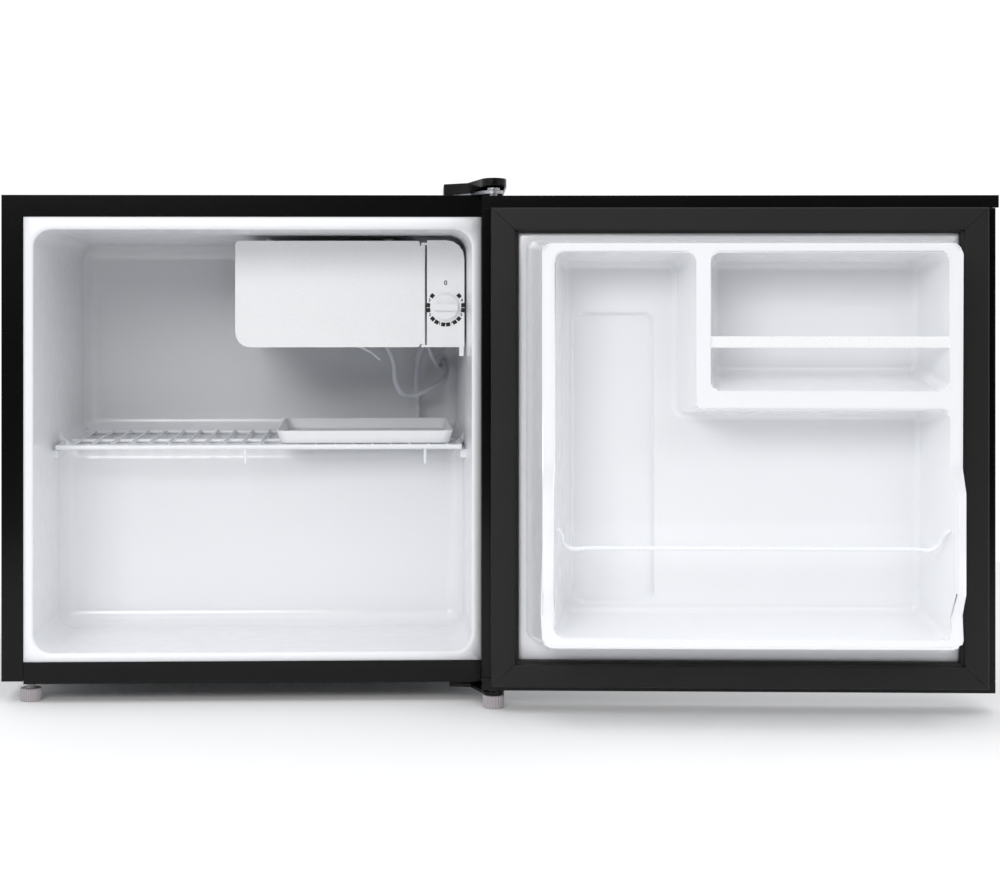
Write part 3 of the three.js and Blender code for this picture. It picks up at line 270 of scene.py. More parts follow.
# Copper tube: drawn, and tarnished in patches
copperTube = surface("DrawnCopper", "#8a4f33", "#b87550", 0.35, 0.08, 3.0, 0.02, blotchMm=15, metallic=1.0)
# Nitrile rubber: matt and moulded
nitrile = surface("NitrileRubber", "#131313", "#1b1b1b", 0.75, 0.08, 0.6, 0.03, ior=1.52)
# Polyethylene sleeve: milky, slightly waxy
sleeve = surface("WhitePolyethyleneSleeve", "#dcdfe6", "#e8eaef", 0.4, 0.05, 3.0, 0.03, ior=1.51)
# Nylon foot: grey, matt
footNylon = surface("GreyNylon", "#a7a1a4", "#b9b4b6", 0.5, 0.06, 0.8, 0.02, ior=1.53)
# Drip tray: thin clear-white polystyrene that lets a little light through
trayPolystyrene = surface("TranslucentPolystyrene", "#f1f2f5", "#f5f6f8", 0.24, 0.04, 2.0, 0.01, ior=1.59)
trayPolystyrene.node_tree.nodes["Principled BSDF"].inputs["Transmission Weight"].default_value = 0.05
# Screen-printed ink: dead flat
scaleInk = surface("BlackPrintingInk", "#08080a", "#0f0f10", 0.55, 0.05, 0.5, 0.002, ior=1.5)
# Rigid polyurethane foam: cream and open
foamPu = surface("CreamPolyurethane", "#d8cf9b", "#e6dfb2", 0.9, 0.05, 1.5, 0.3, ior=1.5)


# ---- camera, floor and light

def buildWorld():
    # white studio all round, with a dark flag in front so the black faces stay black
    world = bpy.data.worlds.new("studio")
    world.use_nodes = True
    tree = world.node_tree
    background = tree.nodes["Background"]
    background.inputs["Color"].default_value = (0.98, 0.99, 1.01, 1)
    where = tree.nodes.new("ShaderNodeTexCoord")
    split = tree.nodes.new("ShaderNodeSeparateXYZ")
    tree.links.new(where.outputs["Generated"], split.inputs["Vector"])
    unit = tree.nodes.new("ShaderNodeMapRange")
    unit.inputs["From Min"].default_value = -1.0
    tree.links.new(split.outputs["Y"], unit.inputs["Value"])
    ramp = tree.nodes.new("ShaderNodeValToRGB")
    ramp.color_ramp.interpolation = "EASE"
    steps = ((0.04, 0.03), (0.12, 0.74), (0.5, 0.82), (0.75, 1.05))
    while len(ramp.color_ramp.elements) < len(steps):
        ramp.color_ramp.elements.new(0.5)
    for element, (at, level) in zip(ramp.color_ramp.elements, steps):
        element.position = at
        element.color = (level, level, level, 1)
    tree.links.new(unit.outputs["Result"], ramp.inputs["Fac"])
    tree.links.new(ramp.outputs["Color"], background.inputs["Strength"])
    bpy.context.scene.world = world


def buildStage():
    viewer = {"x": 127, "y": -1900, "z": 412, "yaw": 1.6, "lens": 72.4, "shiftX": 0.056, "shiftY": -0.1785}
    data = bpy.data.cameras.new("camera")
    data.lens = viewer["lens"]
    data.sensor_width = 36
    data.shift_x = viewer["shiftX"]
    data.shift_y = viewer["shiftY"]
    data.clip_start = 0.05
    data.clip_end = 50
    camera = bpy.data.objects.new("camera", data)
    camera.location = toFrame @ Vector((viewer["x"], viewer["y"], viewer["z"]))
    camera.rotation_euler = (math.radians(90), 0, math.radians(-viewer["yaw"]))
    bpy.context.scene.collection.objects.link(camera)
    bpy.context.scene.camera = camera

    bm = bmesh.new()
    bmesh.ops.create_circle(bm, cap_ends=True, segments=96, radius=1150)
    bmesh.ops.translate(bm, vec=(230, 0, startBounds[0].z / mm - 0.2), verts=bm.verts)
    bm.transform(toFrame)
    mesh = bpy.data.meshes.new("floor")
    bm.to_mesh(mesh)
    bm.free()
    floor = bpy.data.objects.new("floor", mesh)
    bpy.context.scene.collection.objects.link(floor)
    # Matt painted floor: plain and pale
    mesh.materials.append(surface("PaleFloorPaint", "#f6f6f6", "#f8f8f8", 0.85, 0.03, 4.0, 0.01, blotchMm=900))

    # place and target in working coordinates, size in mm, power in watts
    lamps = {
        "keySoftbox": ((-700, -2300, 1250), (100, 100, 220), (1200, 750), 22),
        "fillSoftbox": ((1100, -2100, 1350), (350, 0, 260), (1100, 700), 7),
        "topSoftbox": ((150, -500, 2000), (150, -300, 0), (1800, 1400), 8),
        "backSoftbox": ((-300, 2000, 1300), (0, 200, 250), (1600, 1000), 4),
    }
    for name, (at, target, size, watts) in lamps.items():
        light = bpy.data.lights.new(name, "AREA")
        light.shape = "RECTANGLE"
        light.size, light.size_y = size[0] * mm, size[1] * mm
        light.energy = watts
        lamp = bpy.data.objects.new(name, light)
        lamp.location = toFrame @ Vector(at)
        aim = (toFrame @ Vector(target)) - lamp.location
        lamp.rotation_euler = aim.to_track_quat("-Z", "Y").to_euler()
        bpy.context.scene.collection.objects.link(lamp)
    bpy.context.scene.view_settings.view_transform = "Standard"


buildWorld()
buildStage()
print("stage: camera, floor and lamps")


# ---- cabinet liner: one vacuum-formed sheet

cavityMould = {"mouthHalf": 206.5, "floor": 46.8, "ceiling": 445.5, "stepTop": 229.3, "lowerDepth": 155,
               "upperDepth": 300, "sideDraft": 0.01746, "ceilingDraft": 0.0419, "corner": 17, "lip": 3.4,
               "sheet": 1.5, "ledgeReach": 6, "ledgeHeight": 9, "ledgeFront": 98}


def buildCabinetLiner():
    c = cavityMould
    span = Span("inner_liner")
    half, floor, ceiling = c["mouthHalf"], c["floor"], c["ceiling"]
    bm = bmesh.new()
    outline = [(0, floor), (c["lowerDepth"], floor), (c["lowerDepth"], c["stepTop"]), (c["upperDepth"], c["stepTop"]),
               (c["upperDepth"], ceiling - c["ceilingDraft"] * c["upperDepth"]), (0, ceiling)]
    side = bm.faces.new([bm.verts.new((-half, y, z)) for y, z in outline])
    made = bmesh.ops.extrude_face_region(bm, geom=[side])["geom"]
    bmesh.ops.translate(bm, vec=(2 * half, 0, 0), verts=[g for g in made if isinstance(g, bmesh.types.BMVert)])
    for v in bm.verts:
        v.co.x *= 1 - v.co.y * c["sideDraft"] / half
    bmesh.ops.recalc_face_normals(bm, faces=bm.faces)
    bmesh.ops.reverse_faces(bm, faces=bm.faces)
    mouth = [f for f in bm.faces if all(abs(v.co.y) < 0.01 for v in f.verts)]
    bmesh.ops.delete(bm, geom=mouth, context="FACES")
    bevelEdges(bm, [e for e in bm.edges if len(e.link_faces) == 2], c["corner"], 8)
    # the mouth rolls over into the flange under the front frame
    rim = [e for e in bm.edges if len(e.link_faces) == 1]
    made = bmesh.ops.extrude_edge_only(bm, edges=rim)["geom"]
    middleZ, tall = (floor + ceiling) / 2, (ceiling - floor) / 2
    flangeZ, flangeTall = span.z, (span.z1 - span.z0) / 2
    for v in [g for g in made if isinstance(g, bmesh.types.BMVert)]:
        dx, dz = v.co.x / half, (v.co.z - middleZ) / tall
        most = max(abs(dx), abs(dz))
        v.co = (dx / most * span.x1, 0.25, flangeZ + dz / most * flangeTall)
    bevelEdges(bm, [e for e in rim if e.is_valid], c["lip"], 5)
    obj = finishPiece("cabinetLiner", bm, "cabinet", ["inner_liner"], material=linerSheet, smoothAngle=60)
    thick = obj.modifiers.new("sheet", "SOLIDIFY")
    thick.thickness = c["sheet"] * mm
    thick.offset = -1
    # two ledges carry the shelf
    bm = bmesh.new()
    for side in (-1, 1):
        wall = half - c["ledgeFront"] * c["sideDraft"]
        near, far = side * (wall - c["ledgeReach"]), side * (wall + 1)
        addBox(bm, min(near, far), max(near, far), c["ledgeFront"], c["lowerDepth"] + 1, c["stepTop"] - c["ledgeHeight"],
               c["stepTop"])
    bevelEdges(bm, bm.edges[:], 2, 3)
    finishPiece("shelfLedges", bm, "cabinet", material=linerSheet)


buildCabinetLiner()
print("stage: cabinet liner")


# ---- door liner: raised frame, rack pocket, bottle column and its recess

doorMould = {
    "free": -185, "hinge": 182.2, "low": 76.2, "high": 431.3, "rise": 78,  # raised frame
    "freeRim": 8.5, "hingeRim": 9.5, "topRim": 4.8, "lowRim": 5,
    "shoulder": 14.6, "ramp": 22, "shoulderLow": 126.7, "shoulderHigh": 213.7,
    "pocketFloor": 299.3, "floorRib": 11, "rib": 8.4, "pocketWidth": 213,
    "pocketBack": -10, "columnBack": -4, "recessBack": -11.5, "recessTop": 369.3, "recessWidth": 76,
    "mouth": 95, "outDraft": 0.14, "inDraft": 0.119, "sheet": 1.5,
    "wallRound": 12, "floorRound": 7, "recessCorner": 10, "recessRound": 3.2, "rimRound": 3.2, "footRound": 3.0,
}


def facesWithin(bm, x0, x1, z0, z1, y):
    found = []
    for f in bm.faces:
        c = f.calc_center_median()
        if x0 < c.x < x1 and z0 < c.z < z1 and all(abs(v.co.y - y) < 0.05 for v in f.verts):
            found.append(f)
    return found


def moveFaces(bm, faces, move):
    made = bmesh.ops.extrude_face_region(bm, geom=faces)["geom"]
    old = [f for f in faces if f.is_valid]
    if old:
        bmesh.ops.delete(bm, geom=old, context="FACES_ONLY")
    bmesh.ops.translate(bm, vec=(0, move, 0), verts=[g for g in made if isinstance(g, bmesh.types.BMVert)])


def sharpEdges(bm, angle, chosen):
    bm.normal_update()
    return [e for e in bm.edges if len(e.link_faces) == 2 and e.calc_face_angle(0) > math.radians(angle) and chosen(e)]


def roundFloor(bm, y, radius, steps):
    # a room's floor meets its walls in a quarter round, stepped in ring by ring
    floor = [f for f in bm.faces if all(abs(v.co.y - y) < 0.05 for v in f.verts)]
    bmesh.ops.translate(bm, vec=(0, radius, 0), verts=list({v for f in floor for v in f.verts}))
    for step in range(steps):
        a, b = (math.radians(90 * (step + k) / steps) for k in (0, 1))
        bmesh.ops.inset_region(bm, faces=floor, thickness=radius * (math.cos(a) - math.cos(b)),
                               depth=-radius * (math.sin(b) - math.sin(a)), use_even_offset=True)


def buildDoorLiner():
    d = doorMould
    span = Span("door_liner", True)
    gasket = Span("door_gasket", True)
    base = gasket.y0 - 0.3
    rise = d["rise"]
    innerFree, innerHinge = d["free"] + d["freeRim"], d["hinge"] - d["hingeRim"]
    ribLeft = innerFree + d["pocketWidth"]
    ribRight = ribLeft + d["rib"]
    innerLow, innerHigh = d["low"] + d["lowRim"], d["high"] - d["topRim"]
    underPocket = d["pocketFloor"] - d["floorRib"]
    xs = sorted([span.x0, d["free"], innerFree, ribLeft, ribRight, innerHinge, d["hinge"], span.x1])
    zs = sorted([span.z0, d["low"], innerLow, d["shoulderLow"] - d["ramp"], d["shoulderLow"],
                 d["shoulderHigh"], d["shoulderHigh"] + d["ramp"], underPocket, d["pocketFloor"], innerHigh,
                 d["high"], span.z1])
    bm = bmesh.new()
    bmesh.ops.create_grid(bm, x_segments=len(xs) - 1, y_segments=len(zs) - 1, size=1)
    bmesh.ops.rotate(bm, cent=(0, 0, 0), matrix=Matrix.Rotation(math.radians(90), 3, "X"), verts=bm.verts)
    for v in bm.verts:
        i = round((v.co.x + 1) / 2 * (len(xs) - 1))
        j = round((v.co.z + 1) / 2 * (len(zs) - 1))
        v.co = (xs[i], base, zs[j])
    bmesh.ops.recalc_face_normals(bm, faces=bm.faces)
    if bm.faces[:][0].normal.y < 0:
        bmesh.ops.reverse_faces(bm, faces=bm.faces)
    moveFaces(bm, facesWithin(bm, d["free"], d["hinge"], d["low"], d["high"], base), rise - base)
    moveFaces(bm, facesWithin(bm, innerFree, ribLeft, d["pocketFloor"], innerHigh, rise), d["pocketBack"] - rise)
    column = facesWithin(bm, ribRight, innerHinge, innerLow, innerHigh, rise)
    column += facesWithin(bm, innerFree, ribRight, innerLow, underPocket, rise)
    moveFaces(bm, column, d["columnBack"] - rise)
    for v in bm.verts:
        if abs(v.co.y - rise) < 0.05 and d["shoulderLow"] - 1 < v.co.z < d["shoulderHigh"] + 1:
            if not innerFree + 1 < v.co.x < innerHinge - 1:
                v.co.y += d["shoulder"]
    # draft: every wall opens towards the shelves
    near = lambda a, b: abs(a - b) < 0.1
    for v in bm.verts:
        x, y, z = v.co
        if near(y, base):
            inFrame = d["free"] - 1 < x < d["hinge"] + 1 and d["low"] - 1 < z < d["high"] + 1
            spread = (rise - base) * d["outDraft"]
            v.co.x += inFrame * (near(x, d["hinge"]) * spread - near(x, d["free"]) * spread * 0.5)
            v.co.z += inFrame * (near(z, d["high"]) * spread * 0.3 - near(z, d["low"]) * spread * 0.8)
            continue
        lean = (d["mouth"] - y) * d["inDraft"]
        deepPocket, deepColumn = near(y, d["pocketBack"]), near(y, d["columnBack"])
        atRim = y > rise - 1
        v.co.x += lean * (near(x, innerFree) - near(x, innerHinge))
        v.co.z += lean * (near(z, innerLow) - near(z, innerHigh))
        inPocket = x < ribLeft + 0.1 and z > d["pocketFloor"] - 0.1
        inLower = z < underPocket + 0.1
        if near(x, ribLeft) and (deepPocket or atRim) and inPocket:
            v.co.x -= lean
        if near(z, d["pocketFloor"]) and (deepPocket or atRim) and inPocket and x < ribLeft + 0.1:
            v.co.z += lean
        if near(x, ribRight) and (deepColumn or atRim) and z > underPocket - 0.1:
            v.co.x += lean
        if near(z, underPocket) and (deepColumn or atRim) and x < ribRight + 0.1:
            v.co.z -= lean
    bmesh.ops.remove_doubles(bm, verts=bm.verts, dist=0.01)
    bmesh.ops.dissolve_limit(bm, angle_limit=math.radians(0.4), verts=bm.verts, edges=bm.edges)
    deep = lambda e: abs(e.verts[0].co.y - e.verts[1].co.y)
    bevelEdges(bm, sharpEdges(bm, 30, lambda e: deep(e) > 40), d["wallRound"], 7)
    roundFloor(bm, d["pocketBack"], d["floorRound"], 6)
    roundFloor(bm, d["columnBack"], d["floorRound"], 6)
    # the bottle recess is cut into the flat of the column's floor
    flatGap = (d["mouth"] - d["columnBack"]) * d["inDraft"] + d["floorRound"] + 0.6
    recessX = (innerHinge - flatGap - d["recessWidth"], innerHinge - flatGap)
    recessZ = (innerLow + flatGap, d["recessTop"])
    for at, out in (((recessX[0], 0, 0), (1, 0, 0)), ((recessX[1], 0, 0), (1, 0, 0)), ((0, 0, recessZ[0]), (0, 0, 1)),
                    ((0, 0, recessZ[1]), (0, 0, 1))):
        flat = [f for f in bm.faces if all(near(v.co.y, d["columnBack"]) for v in f.verts)]
        parts = list({g for f in flat for g in f.verts[:] + f.edges[:]}) + flat
        bmesh.ops.bisect_plane(bm, geom=parts, plane_co=at, plane_no=out)
    recess = facesWithin(bm, recessX[0], recessX[1], recessZ[0], recessZ[1], d["columnBack"])
    moveFaces(bm, recess, d["recessBack"] - d["columnBack"])
    for v in bm.verts:
        if near(v.co.y, d["recessBack"]):
            v.co.x += math.copysign(3, sum(recessX) / 2 - v.co.x)
            v.co.z += math.copysign(3, sum(recessZ) / 2 - v.co.z)
    inRecess = lambda e: all(recessX[0] - 1 < v.co.x < recessX[1] + 1 and recessZ[0] - 1 < v.co.z < recessZ[1] + 1
                             for v in e.verts)
    bevelEdges(bm, sharpEdges(bm, 30, lambda e: inRecess(e) and 5 < deep(e) < 9), d["recessCorner"], 6)
    bevelEdges(bm, sharpEdges(bm, 30, lambda e: inRecess(e) and all(v.co.y < 0 for v in e.verts)), d["recessRound"], 5)
    bevelEdges(bm, sharpEdges(bm, 50, lambda e: all(v.co.y > rise - 6 for v in e.verts)), d["rimRound"], 5)
    bevelEdges(bm, sharpEdges(bm, 30, lambda e: all(v.co.y < base + 0.1 for v in e.verts)), d["footRound"], 4)
    obj = finishPiece("doorLiner", bm, "door", ["door_liner"], True, linerSheet, smoothAngle=60)
    thick = obj.modifiers.new("sheet", "SOLIDIFY")
    thick.thickness = d["sheet"] * mm
    thick.offset = -1


buildDoorLiner()
print("stage: door liner")


# ---- door seal: four welded strips of bellows

def buildGasket():
    span = Span("door_gasket", True)
    # from the outer edge inwards, and up from the foot to the sealing face
    section = [(2, 0), (2, 3.4), (0.7, 5.2), (0, 6.8), (0, 10.6), (0.5, 11.6), (1.4, 12), (19.4, 12), (20.3, 11.6),
               (20.8, 10.6), (20.8, 7.8), (22.9, 6.6), (23.8, 5.4), (23.8, 0)]
    seam = 0.12
    sideShare = 25.6 / 23.8  # the side strips are a little wider
    half, tall = (span.x1 - span.x0) / 2, (span.z1 - span.z0) / 2
    bm = bmesh.new()
    ring = bmesh.ops.create_grid(bm, x_segments=1, y_segments=1, size=1)["verts"]
    bmesh.ops.delete(bm, geom=bm.faces[:], context="FACES_ONLY")
    edges = bm.edges[:]
    for v in ring:
        inset, up = section[0]
        v.co = (span.x + v.co.x * (half - inset * sideShare), span.y0 + up, span.z + v.co.y * (tall - inset))
    for inset, up in section[1:] + section[:1]:
        made = bmesh.ops.extrude_edge_only(bm, edges=edges)["geom"]
        edges = [g for g in made if isinstance(g, bmesh.types.BMEdge)]
        for v in (g for g in made if isinstance(g, bmesh.types.BMVert)):
            v.co = (span.x + math.copysign(half - inset * sideShare, v.co.x - span.x), span.y0 + up,
                    span.z + math.copysign(tall - inset, v.co.z - span.z))
    bmesh.ops.remove_doubles(bm, verts=bm.verts, dist=0.001)
    mitres = []
    for e in bm.edges:
        across, up = (abs(e.verts[0].co[i] - e.verts[1].co[i]) for i in (0, 2))
        if abs(across - up * sideShare) < 0.01 and across < 40:
            mitres.append(e)
    bmesh.ops.split_edges(bm, edges=mitres)
    for v in bm.verts:
        middle = sum((f.calc_center_median() for f in v.link_faces), Vector()) / len(v.link_faces)
        if abs(middle.x - span.x) / half < abs(middle.z - span.z) / tall:
            v.co.x -= math.copysign(seam, v.co.x - span.x)
        else:
            v.co.z -= math.copysign(seam, v.co.z - span.z)
    bmesh.ops.holes_fill(bm, edges=[e for e in bm.edges if len(e.link_faces) == 1], sides=0)
    bmesh.ops.recalc_face_normals(bm, faces=bm.faces)
    bevelEdges(bm, sharpEdges(bm, 40, lambda e: all(v.co.y > span.y0 + 5 for v in e.verts)), 0.2, 2)
    finishPiece("doorGasket", bm, "door", ["door_gasket"], True, gasketVinyl)


buildGasket()
print("stage: door seal")


# ---- wire shelf and bottle wire

def buildShelf():
    span = Span("wire_shelf")
    size = {"frame": 2.5, "wire": 1.4, "bar": 1.8, "pitch": 18.6, "tabDrop": 17, "corner": 7}
    tray = Span("drip_tray")
    z = span.z1 - size["frame"] - size["wire"] + 0.9
    wireZ = z + size["frame"] - 0.9
    front, back = span.y0 + size["frame"], span.y1 - size["frame"]
    half = (span.x1 - span.x0) / 2
    side = half - size["frame"]
    bm = bmesh.new()
    turn = size["corner"]
    for sign in (-1, 1):
        addTube(bm, [(sign * 20, back, z), (sign * (side - turn), back, z), (sign * (side - turn * 0.3), back - turn * 0.3, z),
                     (sign * side, back - turn, z), (sign * side, front + turn, z), (sign * side, front, z)],
                size["frame"], 20, 5)
    addRod(bm, (-25, back, z), (25, back, z), size["frame"], 20)
    addRod(bm, (-half, front, z), (half, front, z), size["frame"], 24, 0.8)
    addRod(bm, (-side, front + 80, z - 0.2), (side, front + 80, z - 0.2), size["bar"], 16)
    count = int((2 * half - 20) / size["pitch"])
    for i in range(count + 1):
        x = (i - count / 2) * size["pitch"]
        addRod(bm, (x, front - 0.5, wireZ), (x, back + 0.5, wireZ), size["wire"], 14, 0.4)
    for x in (tray.x0 - 30, tray.x1 - 28):
        addTube(bm, [(x, front + 1, z), (x, front + 1, z - 8), (x, front + 1.2, z - 13), (x, front + 1.2, z - size["tabDrop"] + 0.3)],
                1.5, 12, 4)
        bmesh.ops.create_uvsphere(bm, u_segments=12, v_segments=8, radius=1.5,
                                  matrix=Matrix.Translation((x, front + 1.2, z - size["tabDrop"] + 1.5)))
    finishPiece("wireShelf", bm, "shelf", ["wire_shelf"], material=coatedWire)


def buildBottleWire():
    span = Span("door_retainer_wire", True)
    r = 1.9
    low, high = span.z0 + r, span.z1 - r
    run, end = span.y0 + r, span.y1 - r
    left, right = span.x0 + 1.2, span.x1 - 1.2
    bm = bmesh.new()
    points = [(left - 1, end, high), (left + 3, end, high), (left + 6, end - 3, high - 4.2), (left + 9, run + 3, low + 4.2),
              (left + 14, run, low), (left + 30, run, low)]
    mirrored = [(left + right - x, y, z) for x, y, z in reversed(points)]
    addTube(bm, points + mirrored, r, 18, 6)
    finishPiece("bottleWire", bm, "door", ["door_retainer_wire"], True, coatedWire)


buildShelf()
buildBottleWire()
print("stage: wires")


# ---- sleeved tubes under the freezer box

def buildTubes():
    hole = Span("tube_grommet")
    cold = Span("evaporator")
    rim = Span("drip_tray")
    droop = (hole.z - rim.z1) * 0.58
    at = lambda dx, dy, dz: (hole.x + dx, hole.y0 + 2 + dy, hole.z + dz)
    runs = {
        "capillarySleeve": ("capillary_tube", 2.6, [
            at(-63, -78, 25), at(-59, -74, 18), at(-53, -68, 2), at(-51, -64, -droop * 0.55), at(-45, -58, -droop * 0.9),
            at(-35, -50, -droop), at(-12, -42, -droop * 0.75), at(3, -30, -droop * 0.42), at(4, -21, -4), at(1, -10, 1),
            at(1, 4, 1)]),
        "sensorSleeve": ("sensor_lead", 2.0, [
            at(-18, -80, 25), at(-16, -74, 18), at(-12, -58, 8), at(-8, -38, 1), at(-5.5, -22, -4), at(-3.2, -8, -4),
            at(-3.2, 4, -4)]),
    }
    suction = Span("suction_tube")
    x, y = suction.x0 + 3.2, suction.y1 - 3.2
    under = cold.z0
    runs["suctionSleeve"] = ("suction_tube", 3.2, [
        (x + 10, y - 18, under - 4), (x + 6, y - 12, under - 10), (x + 2, y - 4, under - 20), (x, y, under - 34),
        (x, y, under - 60), (x, y, suction.z0 + 30), (x, y, suction.z0)])
    probe = Span("thermostat_probe")
    runs["probeSleeve"] = ("thermostat_probe", 1.6, [
        (probe.x0 + 1, probe.y0 + 1.6, probe.z1 - 1.6), (probe.x0 + 16, probe.y0 + 5, probe.z1 - 4.5),
        (probe.x0 + 28, probe.y0 + 7, probe.z1 - 10), (probe.x1 - 1, probe.y1 - 1.6, probe.z0 + 1.6)])
    for name, (node, radius, points) in runs.items():
        bm = bmesh.new()
        addTube(bm, points, radius, 18, 8)
        finishPiece(name, bm, "cabinet", [node], material=sleeve)


buildTubes()
print("stage: tubes")


# ---- thermostat scale: printed blocks and numbers round the dial

def buildScale():
    dial = Span("thermostat_dial")
    face = Span("thermostat_housing").y0
    scale = {"radius": 17.4, "block": 3.8, "wide": 4.2, "print": 0.12, "numberSize": 4.2, "zeroSize": 6.5, "bold": 0.12}
    bm = bmesh.new()
    for degrees in (50, 84, 100, 132, 149, 172):
        for sign in (-1, 1):
            angle = math.radians(sign * degrees)
            made = addBox(bm, -scale["wide"] / 2, scale["wide"] / 2, -scale["print"], 0.02, -scale["block"] / 2,
                          scale["block"] / 2)
            bmesh.ops.rotate(bm, cent=(0, 0, 0), matrix=Matrix.Rotation(angle, 3, "Y"), verts=made)
            bmesh.ops.translate(bm, vec=(dial.x + scale["radius"] * math.sin(angle), face,
                                         dial.z + scale["radius"] * math.cos(angle)), verts=made)
    finishPiece("scaleBlocks", bm, "cabinet", material=scaleInk)
    marks = [("0", 0, scale["radius"] + 6.5, scale["zeroSize"])]
    for number, degrees in zip("123456", (-160, -116, -67, 67, 116, 160)):
        marks.append((number, degrees, scale["radius"], scale["numberSize"]))
    for text, degrees, radius, size in marks:
        angle = math.radians(degrees)
        curve = bpy.data.curves.new("mark" + text, "FONT")
        curve.body = text
        curve.size = size
        curve.align_x = "CENTER"
        curve.align_y = "CENTER"
        curve.extrude = scale["print"] / 2
        curve.offset = scale["bold"]
        holder = bpy.data.objects.new("markHolder", curve)
        bpy.context.scene.collection.objects.link(holder)
        bpy.context.view_layer.update()
        mesh = bpy.data.meshes.new_from_object(holder)
        bpy.data.objects.remove(holder)
        bm = bmesh.new()
        bm.from_mesh(mesh)
        bpy.data.meshes.remove(mesh)
        bmesh.ops.rotate(bm, cent=(0, 0, 0), matrix=Matrix.Rotation(math.radians(90), 3, "X"), verts=bm.verts)
        bmesh.ops.translate(bm, vec=(dial.x + radius * math.sin(angle), face - scale["print"] / 2 + 0.02,
                                     dial.z + radius * math.cos(angle)), verts=bm.verts)
        finishPiece("mark" + text, bm, "cabinet", material=scaleInk, weighted=False)


def buildHousingEnd():
    # the block that closes the housing's lower outer corner against the wall
    housing = Span("thermostat_housing")
    bm = bmesh.new()
    addBox(bm, housing.x1 - 5, housing.x1 - 0.6, housing.y0 + 0.6, housing.y0 + 14, housing.z0 - 9, housing.z0 + 1)
    bevelEdges(bm, bm.edges[:], 0.7, 3)
    finishPiece("housingFoot", bm, "cabinet", material=whiteMoulding)


buildScale()
buildHousingEnd()
print("stage: thermostat scale")


# ---- front feet: knurled cups

def buildFoot(node, body, ribs):
    span = Span(node)
    foot = {"radius": 10.2, "cup": 11.8, "ribDepth": 0.75, "stud": 4}
    bm = bmesh.new()
    made = bmesh.ops.create_cone(bm, cap_ends=True, segments=ribs * 4, radius1=foot["radius"] - 0.25,
                                 radius2=foot["radius"] - 0.25, depth=foot["cup"])["verts"]
    bmesh.ops.translate(bm, vec=(0, 0, foot["cup"] / 2), verts=made)
    ordered = sorted(made, key=lambda v: (v.co.z > 1, math.atan2(v.co.y, v.co.x)))
    for i, v in enumerate(ordered):
        if i % 4 < 2:
            shrink = 1 - foot["ribDepth"] / foot["radius"]
            v.co.x *= shrink
            v.co.y *= shrink
    bevelEdges(bm, [e for e in bm.edges if abs(e.verts[0].co.z - e.verts[1].co.z) < 0.1], 0.9, 3)
    stud = bmesh.ops.create_cone(bm, cap_ends=True, segments=32, radius1=foot["stud"], radius2=foot["stud"],
                                 depth=span.z1 - foot["cup"] + 1)["verts"]
    bmesh.ops.translate(bm, vec=(0, 0, (span.z1 + foot["cup"] - 1) / 2), verts=stud)
    bmesh.ops.translate(bm, vec=(span.x, span.y, 0), verts=bm.verts)
    finishPiece(node + "Knurled", bm, body, [node], material=footNylon, smoothAngle=30)


buildFoot("foot_front_left", "left_foot", 30)
buildFoot("foot_front_right", "right_foot", 22)
print("stage: feet")


# ---- hinge cover, cut away under its nose so the pin shows

def buildHingeCover():
    node = "top_hinge_cover"
    span = Span(node)
    bm = bmesh.new()
    bm.from_mesh(frame["nodes"][node].data)
    bm.transform(toFrame.inverted())
    bmesh.ops.remove_doubles(bm, verts=bm.verts, dist=0.002)
    bmesh.ops.dissolve_limit(bm, angle_limit=math.radians(0.8), verts=bm.verts, edges=bm.edges)
    rise = 7.2
    slope = Vector((0, rise, 48)).normalized()
    everything = bm.verts[:] + bm.edges[:] + bm.faces[:]
    cut = bmesh.ops.bisect_plane(bm, geom=everything, plane_co=(0, 12, span.z0), plane_no=slope, clear_inner=True)
    edges = [g for g in cut["geom_cut"] if isinstance(g, bmesh.types.BMEdge)]
    bmesh.ops.holes_fill(bm, edges=edges, sides=0)
    top = sharpEdges(bm, 50, lambda e: all(v.co.z > span.z0 + 6 for v in e.verts))
    bevelEdges(bm, top, 0.7, 3)
    finishPiece("hingeCover", bm, "cabinet", [node], material=blackAbs, smoothAngle=35)


# ---- condenser cross wires on the back

def buildCrossWires():
    coil = Span("condenser_coil")
    wires = {"radius": 0.8, "pitch": 13, "over": 6, "inset": 22}
    bm = bmesh.new()
    count = int((coil.x1 - coil.x0 - 2 * wires["inset"]) / wires["pitch"])
    for i in range(count + 1):
        x = coil.x + (i - count / 2) * wires["pitch"]
        for side in (-1, 1):
            y = coil.y + side * (2.6 - 0.5)
            addRod(bm, (x + side * 1.5, y, coil.z0 - wires["over"]), (x + side * 1.5, y, coil.z1 + wires["over"]),
                   wires["radius"] * 0.9, 8)
    finishPiece("condenserWires", bm, "cabinet", material=blackEnamel)


buildHingeCover()
buildCrossWires()
print("stage: hinge cover and condenser wires")


# ---- foam, kept clear of the visible sheets

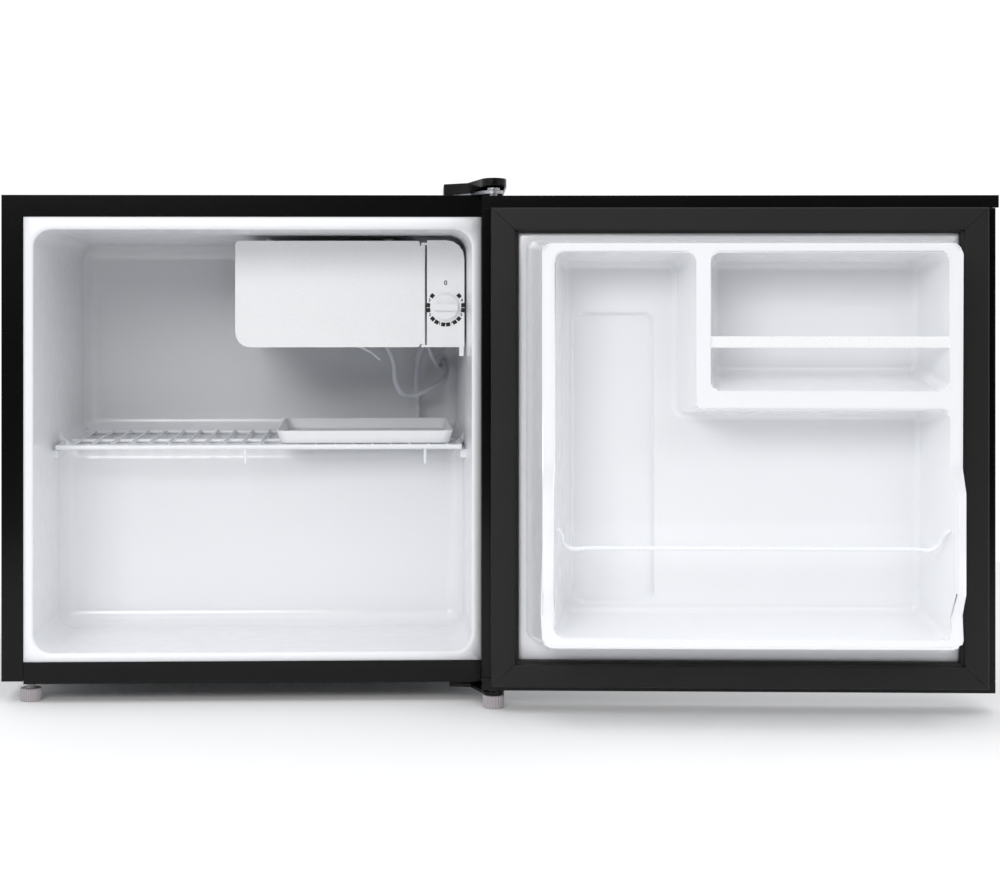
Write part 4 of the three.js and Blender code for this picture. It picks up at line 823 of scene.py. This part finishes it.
def buildFoam():
    bm = bmesh.new()
    bm.from_mesh(frame["nodes"]["foam_insulation"].data)
    bm.transform(toFrame.inverted())
    bmesh.ops.remove_doubles(bm, verts=bm.verts, dist=0.002)
    bmesh.ops.dissolve_limit(bm, angle_limit=math.radians(0.8), verts=bm.verts, edges=bm.edges)
    bm.normal_update()
    for v in bm.verts:
        v.co -= v.normal * 3
    finishPiece("cabinetFoam", bm, "cabinet", ["foam_insulation"], material=foamPu)
    bm = bmesh.new()
    bm.from_mesh(frame["nodes"]["door_foam"].data)
    bm.transform(doorToFrame.inverted())
    bmesh.ops.remove_doubles(bm, verts=bm.verts, dist=0.002)
    everything = bm.verts[:] + bm.edges[:] + bm.faces[:]
    back = Span("door_panel", True).y1 - 4
    cut = bmesh.ops.bisect_plane(bm, geom=everything, plane_co=(0, back, 0), plane_no=(0, 1, 0), clear_outer=True)
    bmesh.ops.holes_fill(bm, edges=[g for g in cut["geom_cut"] if isinstance(g, bmesh.types.BMEdge)], sides=0)
    bmesh.ops.recalc_face_normals(bm, faces=bm.faces)
    finishPiece("doorFoam", bm, "door", ["door_foam"], True, foamPu)


buildFoam()
print("stage: foam")


# ---- the other pieces keep their CAD shape, merged and with their edges rolled over

finishOf = {
    "black_paint": blackEnamel, "black_plastic": blackAbs, "gasket_vinyl": gasketVinyl, "white_liner": linerSheet,
    "white_plastic": whiteMoulding, "white_wire": coatedWire, "zinc_steel": zincSteel, "aluminium": rolledAluminium,
    "copper": copperTube, "foam": foamPu, "rubber": nitrile, "foot_plastic": footNylon,
}
bodyOf = {n: b for b, nodes in frame["record"]["behaviour"]["bodies"].items() for n in nodes}
slotOf = {s["node"]: s["material_slot"] for s in frame["record"]["subparts"]}
modelledApart = {"inner_liner", "door_liner", "door_gasket", "wire_shelf", "door_retainer_wire", "capillary_tube",
                 "sensor_lead", "suction_tube", "thermostat_probe", "foot_front_left", "foot_front_right",
                 "top_hinge_cover", "foam_insulation", "door_foam"}
bevelOf = {"outer_shell": 0.35, "door_panel": 0.4, "door_top_cap": 1.2, "door_bottom_cap": 1.2,
           "thermostat_housing": 0.8, "freezer_flap": 1.0, "drip_tray": 0.8, "terminal_cover": 2.0, "compressor": 0,
           "door_guard_rail": 0.8, "thermostat_dial": 0.7}
for node in sorted(frame["nodes"]):
    if node not in modelledApart:
        material = {"drip_tray": trayPolystyrene, "tube_grommet": sleeve}.get(node) or finishOf[slotOf[node]]
        refined(node, bodyOf[node], material, bodyOf[node] == "door", bevelOf.get(node, 0.25))
print("stage: remaining pieces")
